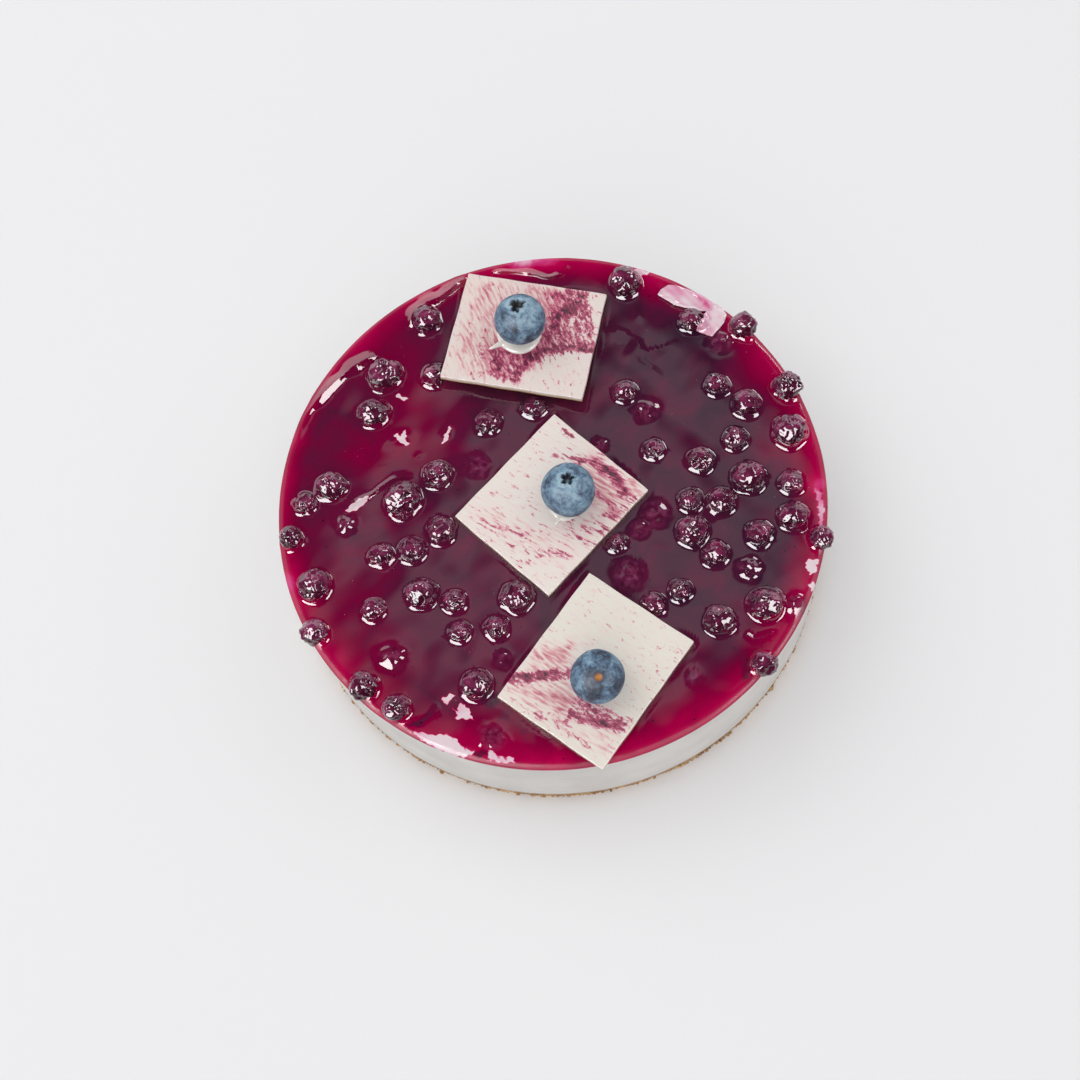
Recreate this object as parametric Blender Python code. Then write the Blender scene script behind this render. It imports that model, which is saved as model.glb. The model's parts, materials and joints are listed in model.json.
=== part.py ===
"""A round set cheesecake: a crumb base, a cream filling, a blueberry glaze full of sunken berries,
and three white chocolate plaques, each with a fresh blueberry on top.

Units are metres and +Z is up. The origin is the middle of the flat underside, and the front is at -Y.
"""

import math
import random

import bmesh
import bpy
from mathutils import Matrix, Vector
from mathutils.geometry import delaunay_2d_cdt

MM = 0.001

# Driving dimensions
CAKE_RADIUS = 100 * MM
GLAZE_LEVEL = 47.7 * MM
CRUMB_HEIGHT = 5 * MM
CREAM_FOOT_RADIUS = CAKE_RADIUS - 0.2 * MM
GLAZE_DEPTH = 6 * MM
GAP = 0.3 * MM
SIDES = 72
SEED = 11

# The crumb base's side, from the foot up: mean radius, height, and how far its raggedness swings
CRUMB_SIDES = 120
CRUMB_FOOT = (98.9 * MM, 0.0, 0.9 * MM)
CRUMB_MIDDLE = (99.7 * MM, 2.0 * MM, 0.6 * MM)
CRUMB_TOP = (99.2 * MM, CRUMB_HEIGHT, 0.3 * MM)

# The filling's top: a flat dish that rises to a thin rim, given as (radius, height under the glaze level)
DISH_PROFILE = [
    (92.0 * MM, GLAZE_DEPTH),
    (95.5 * MM, 4.2 * MM),
    (98.6 * MM, 1.1 * MM),
]
RIM_PROFILE = [
    (99.6 * MM, 1.3 * MM),
    (CAKE_RADIUS, 2.2 * MM),
]
GLAZE_RADIUS = 99.4 * MM
GLAZE_SHOULDER = 97.8 * MM
GLAZE_EDGE_DROP = 0.55 * MM

# The glaze's surface
GRID_STEP = 6.0 * MM
GRID_LIMIT = GLAZE_SHOULDER - 2.5 * MM
RELIEF_LIMIT = GLAZE_SHOULDER - 6 * MM
WAVE_HEIGHT = 0.3 * MM
WAVE_LENGTHS = (43 * MM, 61 * MM)
MENISCUS_HEIGHT = 0.9 * MM
MENISCUS_REACH = 2.2 * MM
MENISCUS_RING = 1.2 * MM
COVER_REACH = 0.62
FOLD_REACH = 2.6 * MM
PLAQUE_RIM = 1.0 * MM
PLAQUE_MARGIN = 3.5 * MM
FILM = 0.3 * MM
POCKET_GAP = 0.35 * MM
HIGHEST_SEAT = 1.5 * MM
SETTLING_STEPS = 24

# Blueberries in the glaze: x, y and width in mm, and height as a share of width
SUNK_BERRIES = [
    (-53.0, 61.0, 14.0, 0.90),
    (-59.0, 46.0, 12.5, 0.88),
    (-34.5, 57.0, 11.5, 0.70),
    (0.0, 37.5, 11.0, 0.70),
    (-18.0, 34.0, 10.0, 0.92),
    (-39.5, 17.0, 11.5, 0.90),
    (-78.5, 19.5, 12.0, 0.90),
    (-89.0, 15.0, 9.5, 0.92),
    (-53.0, 9.5, 14.5, 0.82),
    (-95.5, 2.0, 9.0, 0.90),
    (-41.0, -5.0, 11.0, 0.90),
    (-35.0, 81.0, 12.0, 0.88),
    (42.5, 81.5, 13.0, 0.86),
    (64.0, 61.0, 11.0, 0.90),
    (82.5, 54.5, 11.0, 0.88),
    (34.0, 36.5, 9.5, 0.90),
    (68.0, 32.5, 9.5, 0.92),
    (77.0, 23.5, 11.0, 0.90),
    (93.0, 27.0, 12.0, 0.86),
    (40.0, 11.5, 9.0, 0.88),
    (70.0, 10.5, 9.5, 0.92),
    (90.0, 9.5, 14.0, 0.84),
    (56.0, 4.5, 11.0, 0.86),
    (72.0, -5.5, 12.5, 0.90),
    (-63.5, -10.5, 9.5, 0.90),
    (-52.5, -10.5, 10.5, 0.90),
    (-89.0, -17.5, 12.5, 0.88),
    (-91.0, -35.5, 10.5, 0.90),
    (-69.0, -30.5, 9.5, 0.90),
    (-51.5, -27.5, 11.5, 0.90),
    (-40.0, -32.5, 9.5, 0.90),
    (-40.0, -44.0, 9.0, 0.90),
    (-26.5, -45.0, 9.5, 0.92),
    (-18.0, -35.0, 12.0, 0.86),
    (-76.0, -58.0, 11.5, 0.88),
    (-66.0, -68.0, 10.5, 0.90),
    (-37.0, -64.5, 12.0, 0.82),
    (20.5, -21.5, 8.5, 0.90),
    (49.5, -10.5, 9.5, 0.90),
    (60.3, -12.7, 11.0, 0.88),
    (86.5, -10.5, 9.5, 0.92),
    (48.0, -22.0, 12.0, 0.86),
    (84.5, -23.5, 11.5, 0.88),
    (54.5, -32.0, 10.5, 0.90),
    (71.0, -27.5, 10.5, 0.90),
    (92.5, -33.5, 9.5, 0.90),
    (39.5, -43.5, 9.0, 0.90),
    (29.5, -46.5, 9.0, 0.90),
    (51.0, -57.0, 11.5, 0.88),
    (68.0, -54.0, 13.0, 0.84),
    (63.2, -75.5, 10.5, 0.88),
]

BERRY_SIDES = 8
BERRY_LEVELS = [36, 66, 98, 134]
BERRY_TILT = 0.4
BERRY_LUMPS = 0.08
BERRY_TIP_DENT = 0.12

# Berries that the glaze covers: x, y and width in mm, and the rise of the dome over them.
# A dome's radius is COVER_REACH of the width.
COVERED_BERRIES = [
    (-24.0, 17.0, 8.0, 1.4),
    (-75.0, 3.5, 6.0, 1.8),
    (-65.0, -49.0, 8.0, 2.2),
    (73.0, 52.0, 8.5, 1.6),
    (40.0, 27.5, 8.0, 1.8),
    (21.0, 17.0, 5.0, 1.0),
    (30.5, -17.0, 7.0, 1.6),
    (37.5, -14.0, 9.0, 1.8),
    (24.0, -34.0, 11.0, 1.6),
    (65.0, -40.0, 7.5, 2.0),
    (78.5, -56.5, 8.0, 1.6),
    (-34.0, -84.0, 9.0, 1.6),
    (-26.0, -57.0, 5.0, 0.9),
    (38.0, -75.0, 6.0, 0.8),
]

# Folds in the glaze: the points of the ridge line in mm, and its rise
FOLDS = [
    ([(-88, 46), (-80, 55), (-70, 62), (-55, 68)], 1.5),
    ([(-74, 9), (-62, 15), (-50, 18)], 1.4),
    ([(-42, 80), (-36, 89), (-27, 94), (-18, 97)], 2.4),
    ([(31, 64), (38, 62), (44, 52), (58, 55)], 1.0),
    ([(38, 55), (44, 47), (49, 38)], 0.9),
    ([(48, 88), (57, 78), (66, 68), (76, 58)], 1.6),
]

# White chocolate plaques: centre, length and width in mm, the long side's angle, and the near side's lift
PLAQUES = [
    {"x": 0.9, "y": 64.7, "length": 53.8, "width": 46.4, "turn": -21.0, "lift": 4.0},
    {"x": 0.0, "y": -3.0, "length": 53.4, "width": 46.0, "turn": 38.3, "lift": 0.0},
    {"x": 5.1, "y": -67.2, "length": 55.3, "width": 44.8, "turn": 44.8, "lift": 0.0},
]
PLAQUE_THICKNESS = 2.4 * MM
PLAQUE_BEVEL = 0.25 * MM

# The dab of white chocolate that fixes the first fresh berry, with its pulled tail
DAB_PLACE = (-0.8 * MM, 65.2 * MM)
DAB_RADIUS = 8.2 * MM
DAB_HEIGHT = 1.8 * MM
DAB_TAIL = 4.8 * MM
DAB_SIDES = 20

# The dab's rings from its root inside the plaque to its crest: share of its radius, and height
DAB_RINGS = [(1.0, -0.5 * MM), (1.0, 0.25 * MM), (0.8, 1.2 * MM), (0.4, DAB_HEIGHT)]

# Fresh blueberries: x, y, width and height in mm, and the way the crown points
FRESH_BERRIES = [
    (0.3, 65.4, 19.2, 18.0, (0.02, 0.34, 0.94)),
    (6.6, -3.4, 19.6, 20.0, (0.02, 0.03, 1.0)),
    (5.0, -72.8, 19.2, 18.0, (-0.1, 0.22, -0.97)),
]
FRESH_SIDES = 15
CROWN_LOBES = 5
CROWN_PIT = -1.9 * MM
STEM_SCAR = -0.5 * MM

# A fresh berry's rings from the crown down: degrees from the crown, and rise in mm over the round berry.
# The second ring is the crown's lobed rim.
FRESH_LEVELS = [
    (9, -1.5),
    (19, 0.7),
    (27, -0.15),
    (46, 0.0),
    (70, 0.0),
    (95, 0.0),
    (122, 0.0),
    (150, 0.0),
    (170, 0.0),
]
CROWN_RIM = 1


def clear_scene():
    for thing in list(bpy.data.objects):
        bpy.data.objects.remove(thing)


def material(name, colour, roughness):
    """A Principled material in one colour, given as sRGB hex."""
    made = bpy.data.materials.new(name)
    made.use_nodes = True
    shader = made.node_tree.nodes["Principled BSDF"]
    channels = [int(colour[i : i + 2], 16) / 255 for i in (0, 2, 4)]
    linear = [c / 12.92 if c <= 0.04045 else ((c + 0.055) / 1.055) ** 2.4 for c in channels]
    shader.inputs["Base Color"].default_value = (*linear, 1)
    shader.inputs["Roughness"].default_value = roughness
    shader.inputs["Metallic"].default_value = 0.0
    made.diffuse_color = (*linear, 1)
    return made


def new_object(name, mesh_builder, finish, smooth_below=None):
    """One object from a bmesh, its faces pointing out, smooth where faces meet at less than an angle."""
    bmesh.ops.recalc_face_normals(mesh_builder, faces=mesh_builder.faces)
    mesh = bpy.data.meshes.new(name)
    mesh_builder.to_mesh(mesh)
    mesh_builder.free()
    made = bpy.data.objects.new(name, mesh)
    bpy.context.scene.collection.objects.link(made)
    if finish:
        mesh.materials.append(finish)
    if smooth_below:
        mesh.shade_smooth()
        mesh.set_sharp_from_angle(angle=math.radians(smooth_below))
    return made


def add_ring(builder, radius, height, sides):
    """A level ring of vertices. Its radius may be a number or a function of the angle."""
    ring = []
    for i in range(sides):
        angle = 2 * math.pi * i / sides
        r = radius(angle) if callable(radius) else radius
        ring.append(builder.verts.new((r * math.cos(angle), r * math.sin(angle), height)))
    return ring


def bridge(builder, first, second):
    """Faces between two rings with the same number of vertices."""
    count = len(first)
    for i in range(count):
        j = (i + 1) % count
        builder.faces.new((first[i], first[j], second[j], second[i]))


def fan(builder, ring, tip):
    """Triangles from a ring to one vertex."""
    for i in range(len(ring)):
        builder.faces.new((ring[i], ring[(i + 1) % len(ring)], tip))


def between(value, low, high):
    """0 below low, 1 above high and a smooth step in between."""
    share = min(1.0, max(0.0, (value - low) / (high - low)))
    return share * share * (3 - 2 * share)


def cream_top(radius):
    """Height of the filling's top at a distance from the middle."""
    points = DISH_PROFILE + RIM_PROFILE
    if radius <= points[0][0]:
        return GLAZE_LEVEL - points[0][1]
    for (r0, d0), (r1, d1) in zip(points, points[1:]):
        if radius <= r1:
            return GLAZE_LEVEL - d0 - (d1 - d0) * (radius - r0) / (r1 - r0)
    return GLAZE_LEVEL - points[-1][1]


def crumb_base(finish):
    """A pressed crumb disc with a ragged side and a flat foot."""
    builder = bmesh.new()
    rng = random.Random(SEED)
    ragged = [rng.uniform(-1, 1) for _ in range(CRUMB_SIDES)]

    def ragged_ring(sizes, step):
        mean, height, swing = sizes

        def radius(angle):
            side = round(angle / (2 * math.pi) * CRUMB_SIDES)
            return mean + swing * ragged[side * step % CRUMB_SIDES]

        return add_ring(builder, radius, height, CRUMB_SIDES)

    foot = ragged_ring(CRUMB_FOOT, 1)
    middle = ragged_ring(CRUMB_MIDDLE, 7)
    top = ragged_ring(CRUMB_TOP, 11)
    builder.faces.new(foot)
    bridge(builder, foot, middle)
    bridge(builder, middle, top)
    builder.faces.new(top)
    new_object("crumb_base", builder, finish, 40)


def cream_filling(finish):
    """The set cream: a straight side, and a dished top whose thin rim has a notch for each berry on it."""
    builder = bmesh.new()
    foot = add_ring(builder, CREAM_FOOT_RADIUS, CRUMB_HEIGHT + GAP, SIDES)
    rings = [foot]
    for radius, depth in reversed(DISH_PROFILE + RIM_PROFILE):
        rings.append(add_ring(builder, radius, GLAZE_LEVEL - depth, SIDES))
    builder.faces.new(foot)
    for lower, upper in zip(rings, rings[1:]):
        bridge(builder, lower, upper)
    builder.faces.new(rings[-1])
    made = new_object("cream_filling", builder, finish, 40)
    apply_boolean(made, "DIFFERENCE", pocket_cutters(DISH_PROFILE[0][0]))


def plaque_frame(plaque):
    """Matrix of a plaque: its own axes along length, width and thickness, its origin under its middle."""
    turn = Matrix.Rotation(math.radians(plaque["turn"]), 4, "Z")
    slope = math.asin(plaque["lift"] / plaque["width"])
    tilt = Matrix.Rotation(-slope, 4, "X")
    rise = GLAZE_LEVEL + GAP + plaque["lift"] / 2 * MM
    place = Matrix.Translation((plaque["x"] * MM, plaque["y"] * MM, rise))
    return place @ turn @ tilt


def outside_plaques(x, y):
    """0 under a plaque, rising to 1 a little way from its edge."""
    share = 1.0
    for plaque in PLAQUES:
        local = Matrix.Rotation(-math.radians(plaque["turn"]), 2) @ Vector(
            (x - plaque["x"] * MM, y - plaque["y"] * MM)
        )
        beyond_x = max(0.0, abs(local.x) - plaque["length"] / 2 * MM)
        beyond_y = max(0.0, abs(local.y) - plaque["width"] / 2 * MM)
        share = min(share, between(math.hypot(beyond_x, beyond_y), PLAQUE_RIM, PLAQUE_MARGIN))
    return share


def distance_to_line(x, y, points):
    """Distance from a point to a line of straight pieces, the line's points in mm."""
    place = Vector((x, y))
    nearest = math.inf
    for start, end in zip(points, points[1:]):
        a = Vector(start) * MM
        along = Vector(end) * MM - a
        share = min(1.0, max(0.0, (place - a).dot(along) / along.length_squared))
        nearest = min(nearest, (place - a - along * share).length)
    return nearest


def glaze_relief(x, y):
    """What the waves, folds, covered berries and the rise round each berry add to the flat glaze."""
    wave = math.sin(2 * math.pi * x / WAVE_LENGTHS[0] + 1) * math.cos(2 * math.pi * y / WAVE_LENGTHS[1])
    rise = WAVE_HEIGHT * wave
    for bx, by, width, _ in SUNK_BERRIES:
        away = math.hypot(x - bx * MM, y - by * MM) - width / 2 * MM
        if away < 2 * MENISCUS_REACH:
            rise += MENISCUS_HEIGHT * math.exp(-((max(0.0, away) / MENISCUS_REACH) ** 2))
    for bx, by, width, height in COVERED_BERRIES:
        share = math.hypot(x - bx * MM, y - by * MM) / (width * COVER_REACH * MM)
        rise += height * MM * max(0.0, 1 - share * share)
    for points, height in FOLDS:
        away = distance_to_line(x, y, points)
        if away < 2 * FOLD_REACH:
            rise += height * MM * math.exp(-((away / FOLD_REACH) ** 2))
    return rise


def glaze_top(x, y):
    """Height of the glaze's surface at a point."""
    radius = math.hypot(x, y)
    inside = 1 - between(radius, RELIEF_LIMIT, GLAZE_SHOULDER)
    edge = max(0.0, (radius - GLAZE_SHOULDER) / (GLAZE_RADIUS - GLAZE_SHOULDER))
    return GLAZE_LEVEL + glaze_relief(x, y) * outside_plaques(x, y) * inside - GLAZE_EDGE_DROP * edge


def circle_points(x, y, radius, count):
    """Points on a circle, in the plane."""
    angles = [2 * math.pi * i / count for i in range(count)]
    return [Vector((x + radius * math.cos(a), y + radius * math.sin(a))) for a in angles]


def plaque_outline(plaque):
    """Points on the glaze just outside a plaque's edge, about a grid step apart."""
    half_length = plaque["length"] / 2 * MM + PLAQUE_RIM
    half_width = plaque["width"] / 2 * MM + PLAQUE_RIM
    corners = [(-1, -1), (1, -1), (1, 1), (-1, 1)]
    turn = Matrix.Rotation(math.radians(plaque["turn"]), 2)
    middle = Vector((plaque["x"], plaque["y"])) * MM
    found = []
    for i, corner in enumerate(corners):
        a = Vector((corner[0] * half_length, corner[1] * half_width))
        b = Vector((corners[i - 1][0] * half_length, corners[i - 1][1] * half_width))
        count = round((b - a).length / GRID_STEP)
        found += [middle + turn @ a.lerp(b, step / count) for step in range(count)]
    return found


def feature_points():
    """Points where the surface bends most: by the plaques, round and on the berries and along the folds."""
    found = []
    for plaque in PLAQUES:
        found += plaque_outline(plaque)
    for x, y, width, _ in SUNK_BERRIES:
        found += circle_points(x * MM, y * MM, width / 2 * MM + MENISCUS_RING, 8)
    for x, y, width, _ in COVERED_BERRIES:
        reach = width * COVER_REACH * MM
        found.append(Vector((x, y)) * MM)
        found += circle_points(x * MM, y * MM, reach / 2, 6)
        found += circle_points(x * MM, y * MM, reach, 8)
    for points, _ in FOLDS:
        for start, end in zip(points, points[1:]):
            a = Vector(start) * MM
            b = Vector(end) * MM
            across = (b - a).orthogonal().normalized() * FOLD_REACH
            for share in (0.0, 0.5):
                middle = a.lerp(b, share)
                found += [middle, middle + across, middle - across]
    return found


def grid_points():
    """An even triangular grid over the glaze."""
    found = []
    row_step = GRID_STEP * math.sqrt(3) / 2
    rows = int(GLAZE_RADIUS / row_step)
    for row in range(-rows, rows + 1):
        shift = GRID_STEP / 2 if row % 2 else 0.0
        columns = int(GLAZE_RADIUS / GRID_STEP) + 1
        for column in range(-columns, columns + 1):
            found.append(Vector((column * GRID_STEP + shift, row * row_step)))
    return found


def surface_points():
    """The surface points inside the shoulder: features a quarter step apart, and the grid clear of them."""
    features = []
    for place in feature_points():
        if place.length < GRID_LIMIT and all((place - other).length > GRID_STEP / 4 for other in features):
            features.append(place)
    between_features = []
    for place in grid_points():
        if place.length < GRID_LIMIT and all((place - other).length > GRID_STEP / 2 for other in features):
            between_features.append(place)
    return features + between_features


def glaze_surface(builder, rim):
    """The upper face of the glaze as triangles, joined to a rim ring of vertices."""
    rim_places = [vertex.co.xy for vertex in rim]
    shoulder = circle_points(0, 0, GLAZE_SHOULDER, SIDES)
    places = rim_places + shoulder + surface_points()
    edges = [(i, (i + 1) % SIDES) for i in range(SIDES)]
    flat, _, triangles, _, _, _ = delaunay_2d_cdt(places, edges, [], 1, 1e-7)
    made = []
    for i, place in enumerate(flat):
        if i < SIDES:
            made.append(rim[i])
        else:
            made.append(builder.verts.new((place.x, place.y, glaze_top(place.x, place.y))))
    for triangle in triangles:
        builder.faces.new([made[i] for i in triangle])


def glaze_block():
    """The glaze before the berries' pockets are cut: a dished underside and a surface with relief."""
    builder = bmesh.new()
    rings = []
    for radius, depth in DISH_PROFILE:
        rings.append(add_ring(builder, radius, GLAZE_LEVEL - depth + GAP, SIDES))
    rings.append(add_ring(builder, GLAZE_RADIUS, cream_top(GLAZE_RADIUS) + GAP, SIDES))
    rim = add_ring(builder, GLAZE_RADIUS, GLAZE_LEVEL - GLAZE_EDGE_DROP, SIDES)
    builder.faces.new(rings[0])
    for inner, outer in zip(rings, rings[1:] + [rim]):
        bridge(builder, inner, outer)
    glaze_surface(builder, rim)
    return builder


def settled_height(x, y, half_width, half_height):
    """Height of a berry's middle: sunk almost to the filling, or at the rim pressed into it."""
    distance = math.hypot(x, y)
    height = 0.0
    for i in range(-SETTLING_STEPS, SETTLING_STEPS + 1):
        share = i / SETTLING_STEPS
        away = distance + share * half_width
        if away <= CAKE_RADIUS:
            below = half_height * math.sqrt(1 - share * share)
            height = max(height, cream_top(away) + below)
    return min(height + GAP + FILM + POCKET_GAP, GLAZE_LEVEL + HIGHEST_SEAT)


def berry_shape(rng, half_width, half_height, swell):
    """A soft, dented berry round the origin. Its dents go inwards only, and swell adds to every radius."""
    builder = bmesh.new()
    phase = [rng.uniform(0, 2 * math.pi) for _ in range(3)]
    tilts = [Matrix.Rotation(rng.uniform(-BERRY_TILT, BERRY_TILT), 3, axis) for axis in "XY"]
    tilt = tilts[0] @ tilts[1]

    def place(polar, angle, dent):
        direction = tilt @ Vector(
            (math.sin(polar) * math.cos(angle), math.sin(polar) * math.sin(angle), math.cos(polar))
        )
        lumps = 0.5 + 0.25 * math.cos(2 * angle + phase[0]) + 0.25 * math.cos(3 * angle + phase[1] + polar)
        reach = 1 / math.sqrt(
            (direction.x**2 + direction.y**2) / half_width**2 + direction.z**2 / half_height**2
        )
        return direction * (reach * (1 - BERRY_LUMPS * lumps * math.sin(polar) - dent) + swell)

    tip = builder.verts.new(place(0.0, 0.0, BERRY_TIP_DENT))
    rings = []
    for level in BERRY_LEVELS:
        polar = math.radians(level)
        angles = [2 * math.pi * i / BERRY_SIDES + phase[2] for i in range(BERRY_SIDES)]
        rings.append([builder.verts.new(place(polar, a, 0.0)) for a in angles])
    foot = builder.verts.new(place(math.pi, 0.0, 0.0))
    fan(builder, rings[0], tip)
    for upper, lower in zip(rings, rings[1:]):
        bridge(builder, upper, lower)
    fan(builder, rings[-1], foot)
    bmesh.ops.triangulate(builder, faces=builder.faces)
    return builder


def sunk_berry(number, name, swell, finish=None):
    """One of the berries that stand in the glaze, or with a swell the cutter for its pocket."""
    x, y, width, share = SUNK_BERRIES[number]
    half_width = width / 2 * MM
    half_height = half_width * share
    builder = berry_shape(random.Random(SEED + number), half_width, half_height, swell)
    height = settled_height(x * MM, y * MM, half_width, half_height)
    bmesh.ops.translate(builder, verts=builder.verts, vec=(x * MM, y * MM, height))
    return new_object(name, builder, finish, 50)


def pocket_cutters(nearest=0.0):
    """Cutters for the pockets of the berries that reach further from the middle than a radius."""
    cutters = []
    for number, (x, y, width, _) in enumerate(SUNK_BERRIES):
        if (math.hypot(x, y) + width / 2) * MM > nearest:
            cutters.append(sunk_berry(number, f"pocket_{number + 1:02d}", POCKET_GAP))
    return cutters


def apply_boolean(thing, operation, others):
    """One Boolean with a collection of objects, applied, with those objects then removed."""
    group = bpy.data.collections.new("others")
    bpy.context.scene.collection.children.link(group)
    for other in others:
        bpy.context.scene.collection.objects.unlink(other)
        group.objects.link(other)
        other.hide_render = True
        other.display_type = "WIRE"
    modifier = thing.modifiers.new(operation.lower(), "BOOLEAN")
    modifier.operation = operation
    modifier.operand_type = "COLLECTION"
    modifier.collection = group
    graph = bpy.context.evaluated_depsgraph_get()
    finished = bpy.data.meshes.new_from_object(thing.evaluated_get(graph))
    thing.modifiers.clear()
    thing.data = finished
    for other in others:
        bpy.data.objects.remove(other)
    bpy.data.collections.remove(group)


def berry_glaze(finish):
    """The set glaze, with a pocket for each berry that stands in it."""
    made = new_object("berry_glaze", glaze_block(), finish, 60)
    apply_boolean(made, "DIFFERENCE", pocket_cutters())


def white_chocolate_dab():
    """A low round dome with a tail pulled to the left, sitting on the first plaque."""
    builder = bmesh.new()

    def reach(share):
        def radius(angle):
            tail = max(0.0, math.cos(angle - math.pi)) ** 6
            return share * (DAB_RADIUS + DAB_TAIL * tail)

        return radius

    rings = [add_ring(builder, reach(share), height, DAB_SIDES) for share, height in DAB_RINGS]
    builder.faces.new(rings[0])
    for lower, upper in zip(rings, rings[1:]):
        bridge(builder, lower, upper)
    builder.faces.new(rings[-1])
    return builder


def plaque_point(plaque, x, y, above):
    """The point of a plaque's top face over a place in the plane, moved up along the plaque's own axis."""
    frame = plaque_frame(plaque)
    normal = frame.to_3x3() @ Vector((0, 0, 1))
    top = frame @ Vector((0, 0, PLAQUE_THICKNESS))
    height = top.z - (normal.x * (x - top.x) + normal.y * (y - top.y)) / normal.z
    return Vector((x, y, height)) + normal * above


def plaque(number, finish):
    """A thin rectangle of white chocolate with softened edges."""
    sizes = PLAQUES[number]
    builder = bmesh.new()
    bmesh.ops.create_cube(builder, size=1.0)
    scale = Vector((sizes["length"] * MM, sizes["width"] * MM, PLAQUE_THICKNESS))
    bmesh.ops.scale(builder, verts=builder.verts, vec=scale)
    bmesh.ops.translate(builder, verts=builder.verts, vec=(0, 0, PLAQUE_THICKNESS / 2))
    bmesh.ops.bevel(
        builder, geom=list(builder.edges), offset=PLAQUE_BEVEL, segments=1, affect="EDGES", profile=0.5
    )
    bmesh.ops.transform(builder, matrix=plaque_frame(sizes), verts=builder.verts)
    made = new_object(f"plaque_{number + 1}", builder, finish, 30)
    if number == 0:
        dab = white_chocolate_dab()
        slope = plaque_frame(sizes).to_3x3() @ Matrix.Rotation(-math.radians(sizes["turn"]), 3, "Z")
        seat = plaque_point(sizes, *DAB_PLACE, 0.0)
        bmesh.ops.transform(dab, matrix=Matrix.Translation(seat) @ slope.to_4x4(), verts=dab.verts)
        apply_boolean(made, "UNION", [new_object("dab", dab, None)])


def fresh_shape(half_width, half_height, crown):
    """A plump berry round the origin with a five-lobed crown at one end and a stem scar at the other."""
    builder = bmesh.new()
    turn = Vector((0, 0, 1)).rotation_difference(Vector(crown).normalized()).to_matrix()
    angles = [2 * math.pi * i / FRESH_SIDES for i in range(FRESH_SIDES)]

    def place(polar, angle, rise):
        across = half_width * math.sin(polar)
        along = half_height * math.cos(polar)
        point = Vector((across * math.cos(angle), across * math.sin(angle), along))
        return turn @ (point + point.normalized() * rise)

    pit = builder.verts.new(place(0.0, 0.0, CROWN_PIT))
    rings = []
    for number, (level, rise) in enumerate(FRESH_LEVELS):
        ring = []
        for angle in angles:
            lobe = 0.5 + 0.5 * math.cos(CROWN_LOBES * angle) if number == CROWN_RIM else 1.0
            ring.append(builder.verts.new(place(math.radians(level), angle, rise * lobe * MM)))
        rings.append(ring)
    scar = builder.verts.new(place(math.pi, 0.0, STEM_SCAR))
    fan(builder, rings[0], pit)
    for upper, lower in zip(rings, rings[1:]):
        bridge(builder, upper, lower)
    fan(builder, rings[-1], scar)
    bmesh.ops.triangulate(builder, faces=builder.faces)
    return builder


def fresh_berry(number, finish):
    """A fresh blueberry, resting on its plaque or on the dab there."""
    x, y, width, height, crown = FRESH_BERRIES[number]
    builder = fresh_shape(width / 2 * MM, height / 2 * MM, crown)
    bmesh.ops.translate(builder, verts=builder.verts, vec=(x * MM, y * MM, 0))
    support = DAB_HEIGHT if number == 0 else 0.0
    lifts = []
    for vertex in builder.verts:
        seat = plaque_point(PLAQUES[number], vertex.co.x, vertex.co.y, support)
        lifts.append(seat.z - vertex.co.z)
    bmesh.ops.translate(builder, verts=builder.verts, vec=(0, 0, max(lifts) + GAP))
    new_object(f"fresh_blueberry_{number + 1}", builder, finish, 40)


def build():
    clear_scene()
    crumb_base(material("baked_biscuit_crumb", "c9a676", 0.9))
    cream_filling(material("set_cream_cheese", "d9d6cf", 0.55))
    berry_glaze(material("blueberry_jelly", "6a0f3a", 0.12))
    stewed = material("stewed_blueberry", "43162b", 0.25)
    for number in range(len(SUNK_BERRIES)):
        sunk_berry(number, f"blueberry_{number + 1:02d}", 0.0, stewed)
    chocolate = material("marbled_white_chocolate", "ecdfd6", 0.4)
    skin = material("fresh_blueberry_bloom", "5a7489", 0.6)
    for number in range(len(PLAQUES)):
        plaque(number, chocolate)
        fresh_berry(number, skin)


build()
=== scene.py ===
# %% [markdown]
# # A blueberry cheesecake, made good enough to eat
# The real cake is set cream on pressed biscuit crumb, under a poured berry jelly full of stewed blueberries.
# Three marbled white chocolate plaques lie on top, each with a fresh blueberry. The solids that carry it are
# loaded first as a fixed frame, and every piece made here takes the place of one of them.

# %% Load the frame
import json
import math
import random

import bpy
import numpy as np
from mathutils import Matrix, Quaternion, Vector

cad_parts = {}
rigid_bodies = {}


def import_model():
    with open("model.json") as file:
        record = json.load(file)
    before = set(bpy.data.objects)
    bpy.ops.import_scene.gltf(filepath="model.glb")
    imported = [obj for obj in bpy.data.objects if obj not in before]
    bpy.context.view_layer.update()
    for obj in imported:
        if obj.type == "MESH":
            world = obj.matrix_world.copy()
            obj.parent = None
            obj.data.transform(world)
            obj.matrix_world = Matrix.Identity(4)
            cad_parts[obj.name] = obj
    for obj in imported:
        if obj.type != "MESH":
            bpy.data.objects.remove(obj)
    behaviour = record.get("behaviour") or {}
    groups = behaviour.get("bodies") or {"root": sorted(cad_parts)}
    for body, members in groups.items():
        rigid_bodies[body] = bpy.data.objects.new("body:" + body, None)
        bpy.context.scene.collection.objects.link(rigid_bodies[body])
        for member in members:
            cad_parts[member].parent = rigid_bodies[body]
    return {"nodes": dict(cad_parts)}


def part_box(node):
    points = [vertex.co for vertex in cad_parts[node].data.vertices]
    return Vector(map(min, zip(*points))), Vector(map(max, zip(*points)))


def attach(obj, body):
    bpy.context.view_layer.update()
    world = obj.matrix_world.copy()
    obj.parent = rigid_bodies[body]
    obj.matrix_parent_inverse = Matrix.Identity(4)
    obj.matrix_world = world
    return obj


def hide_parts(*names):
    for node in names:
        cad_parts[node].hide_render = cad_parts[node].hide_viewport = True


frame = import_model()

MM = 0.001
FULL_TURN = 2 * math.pi
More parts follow.
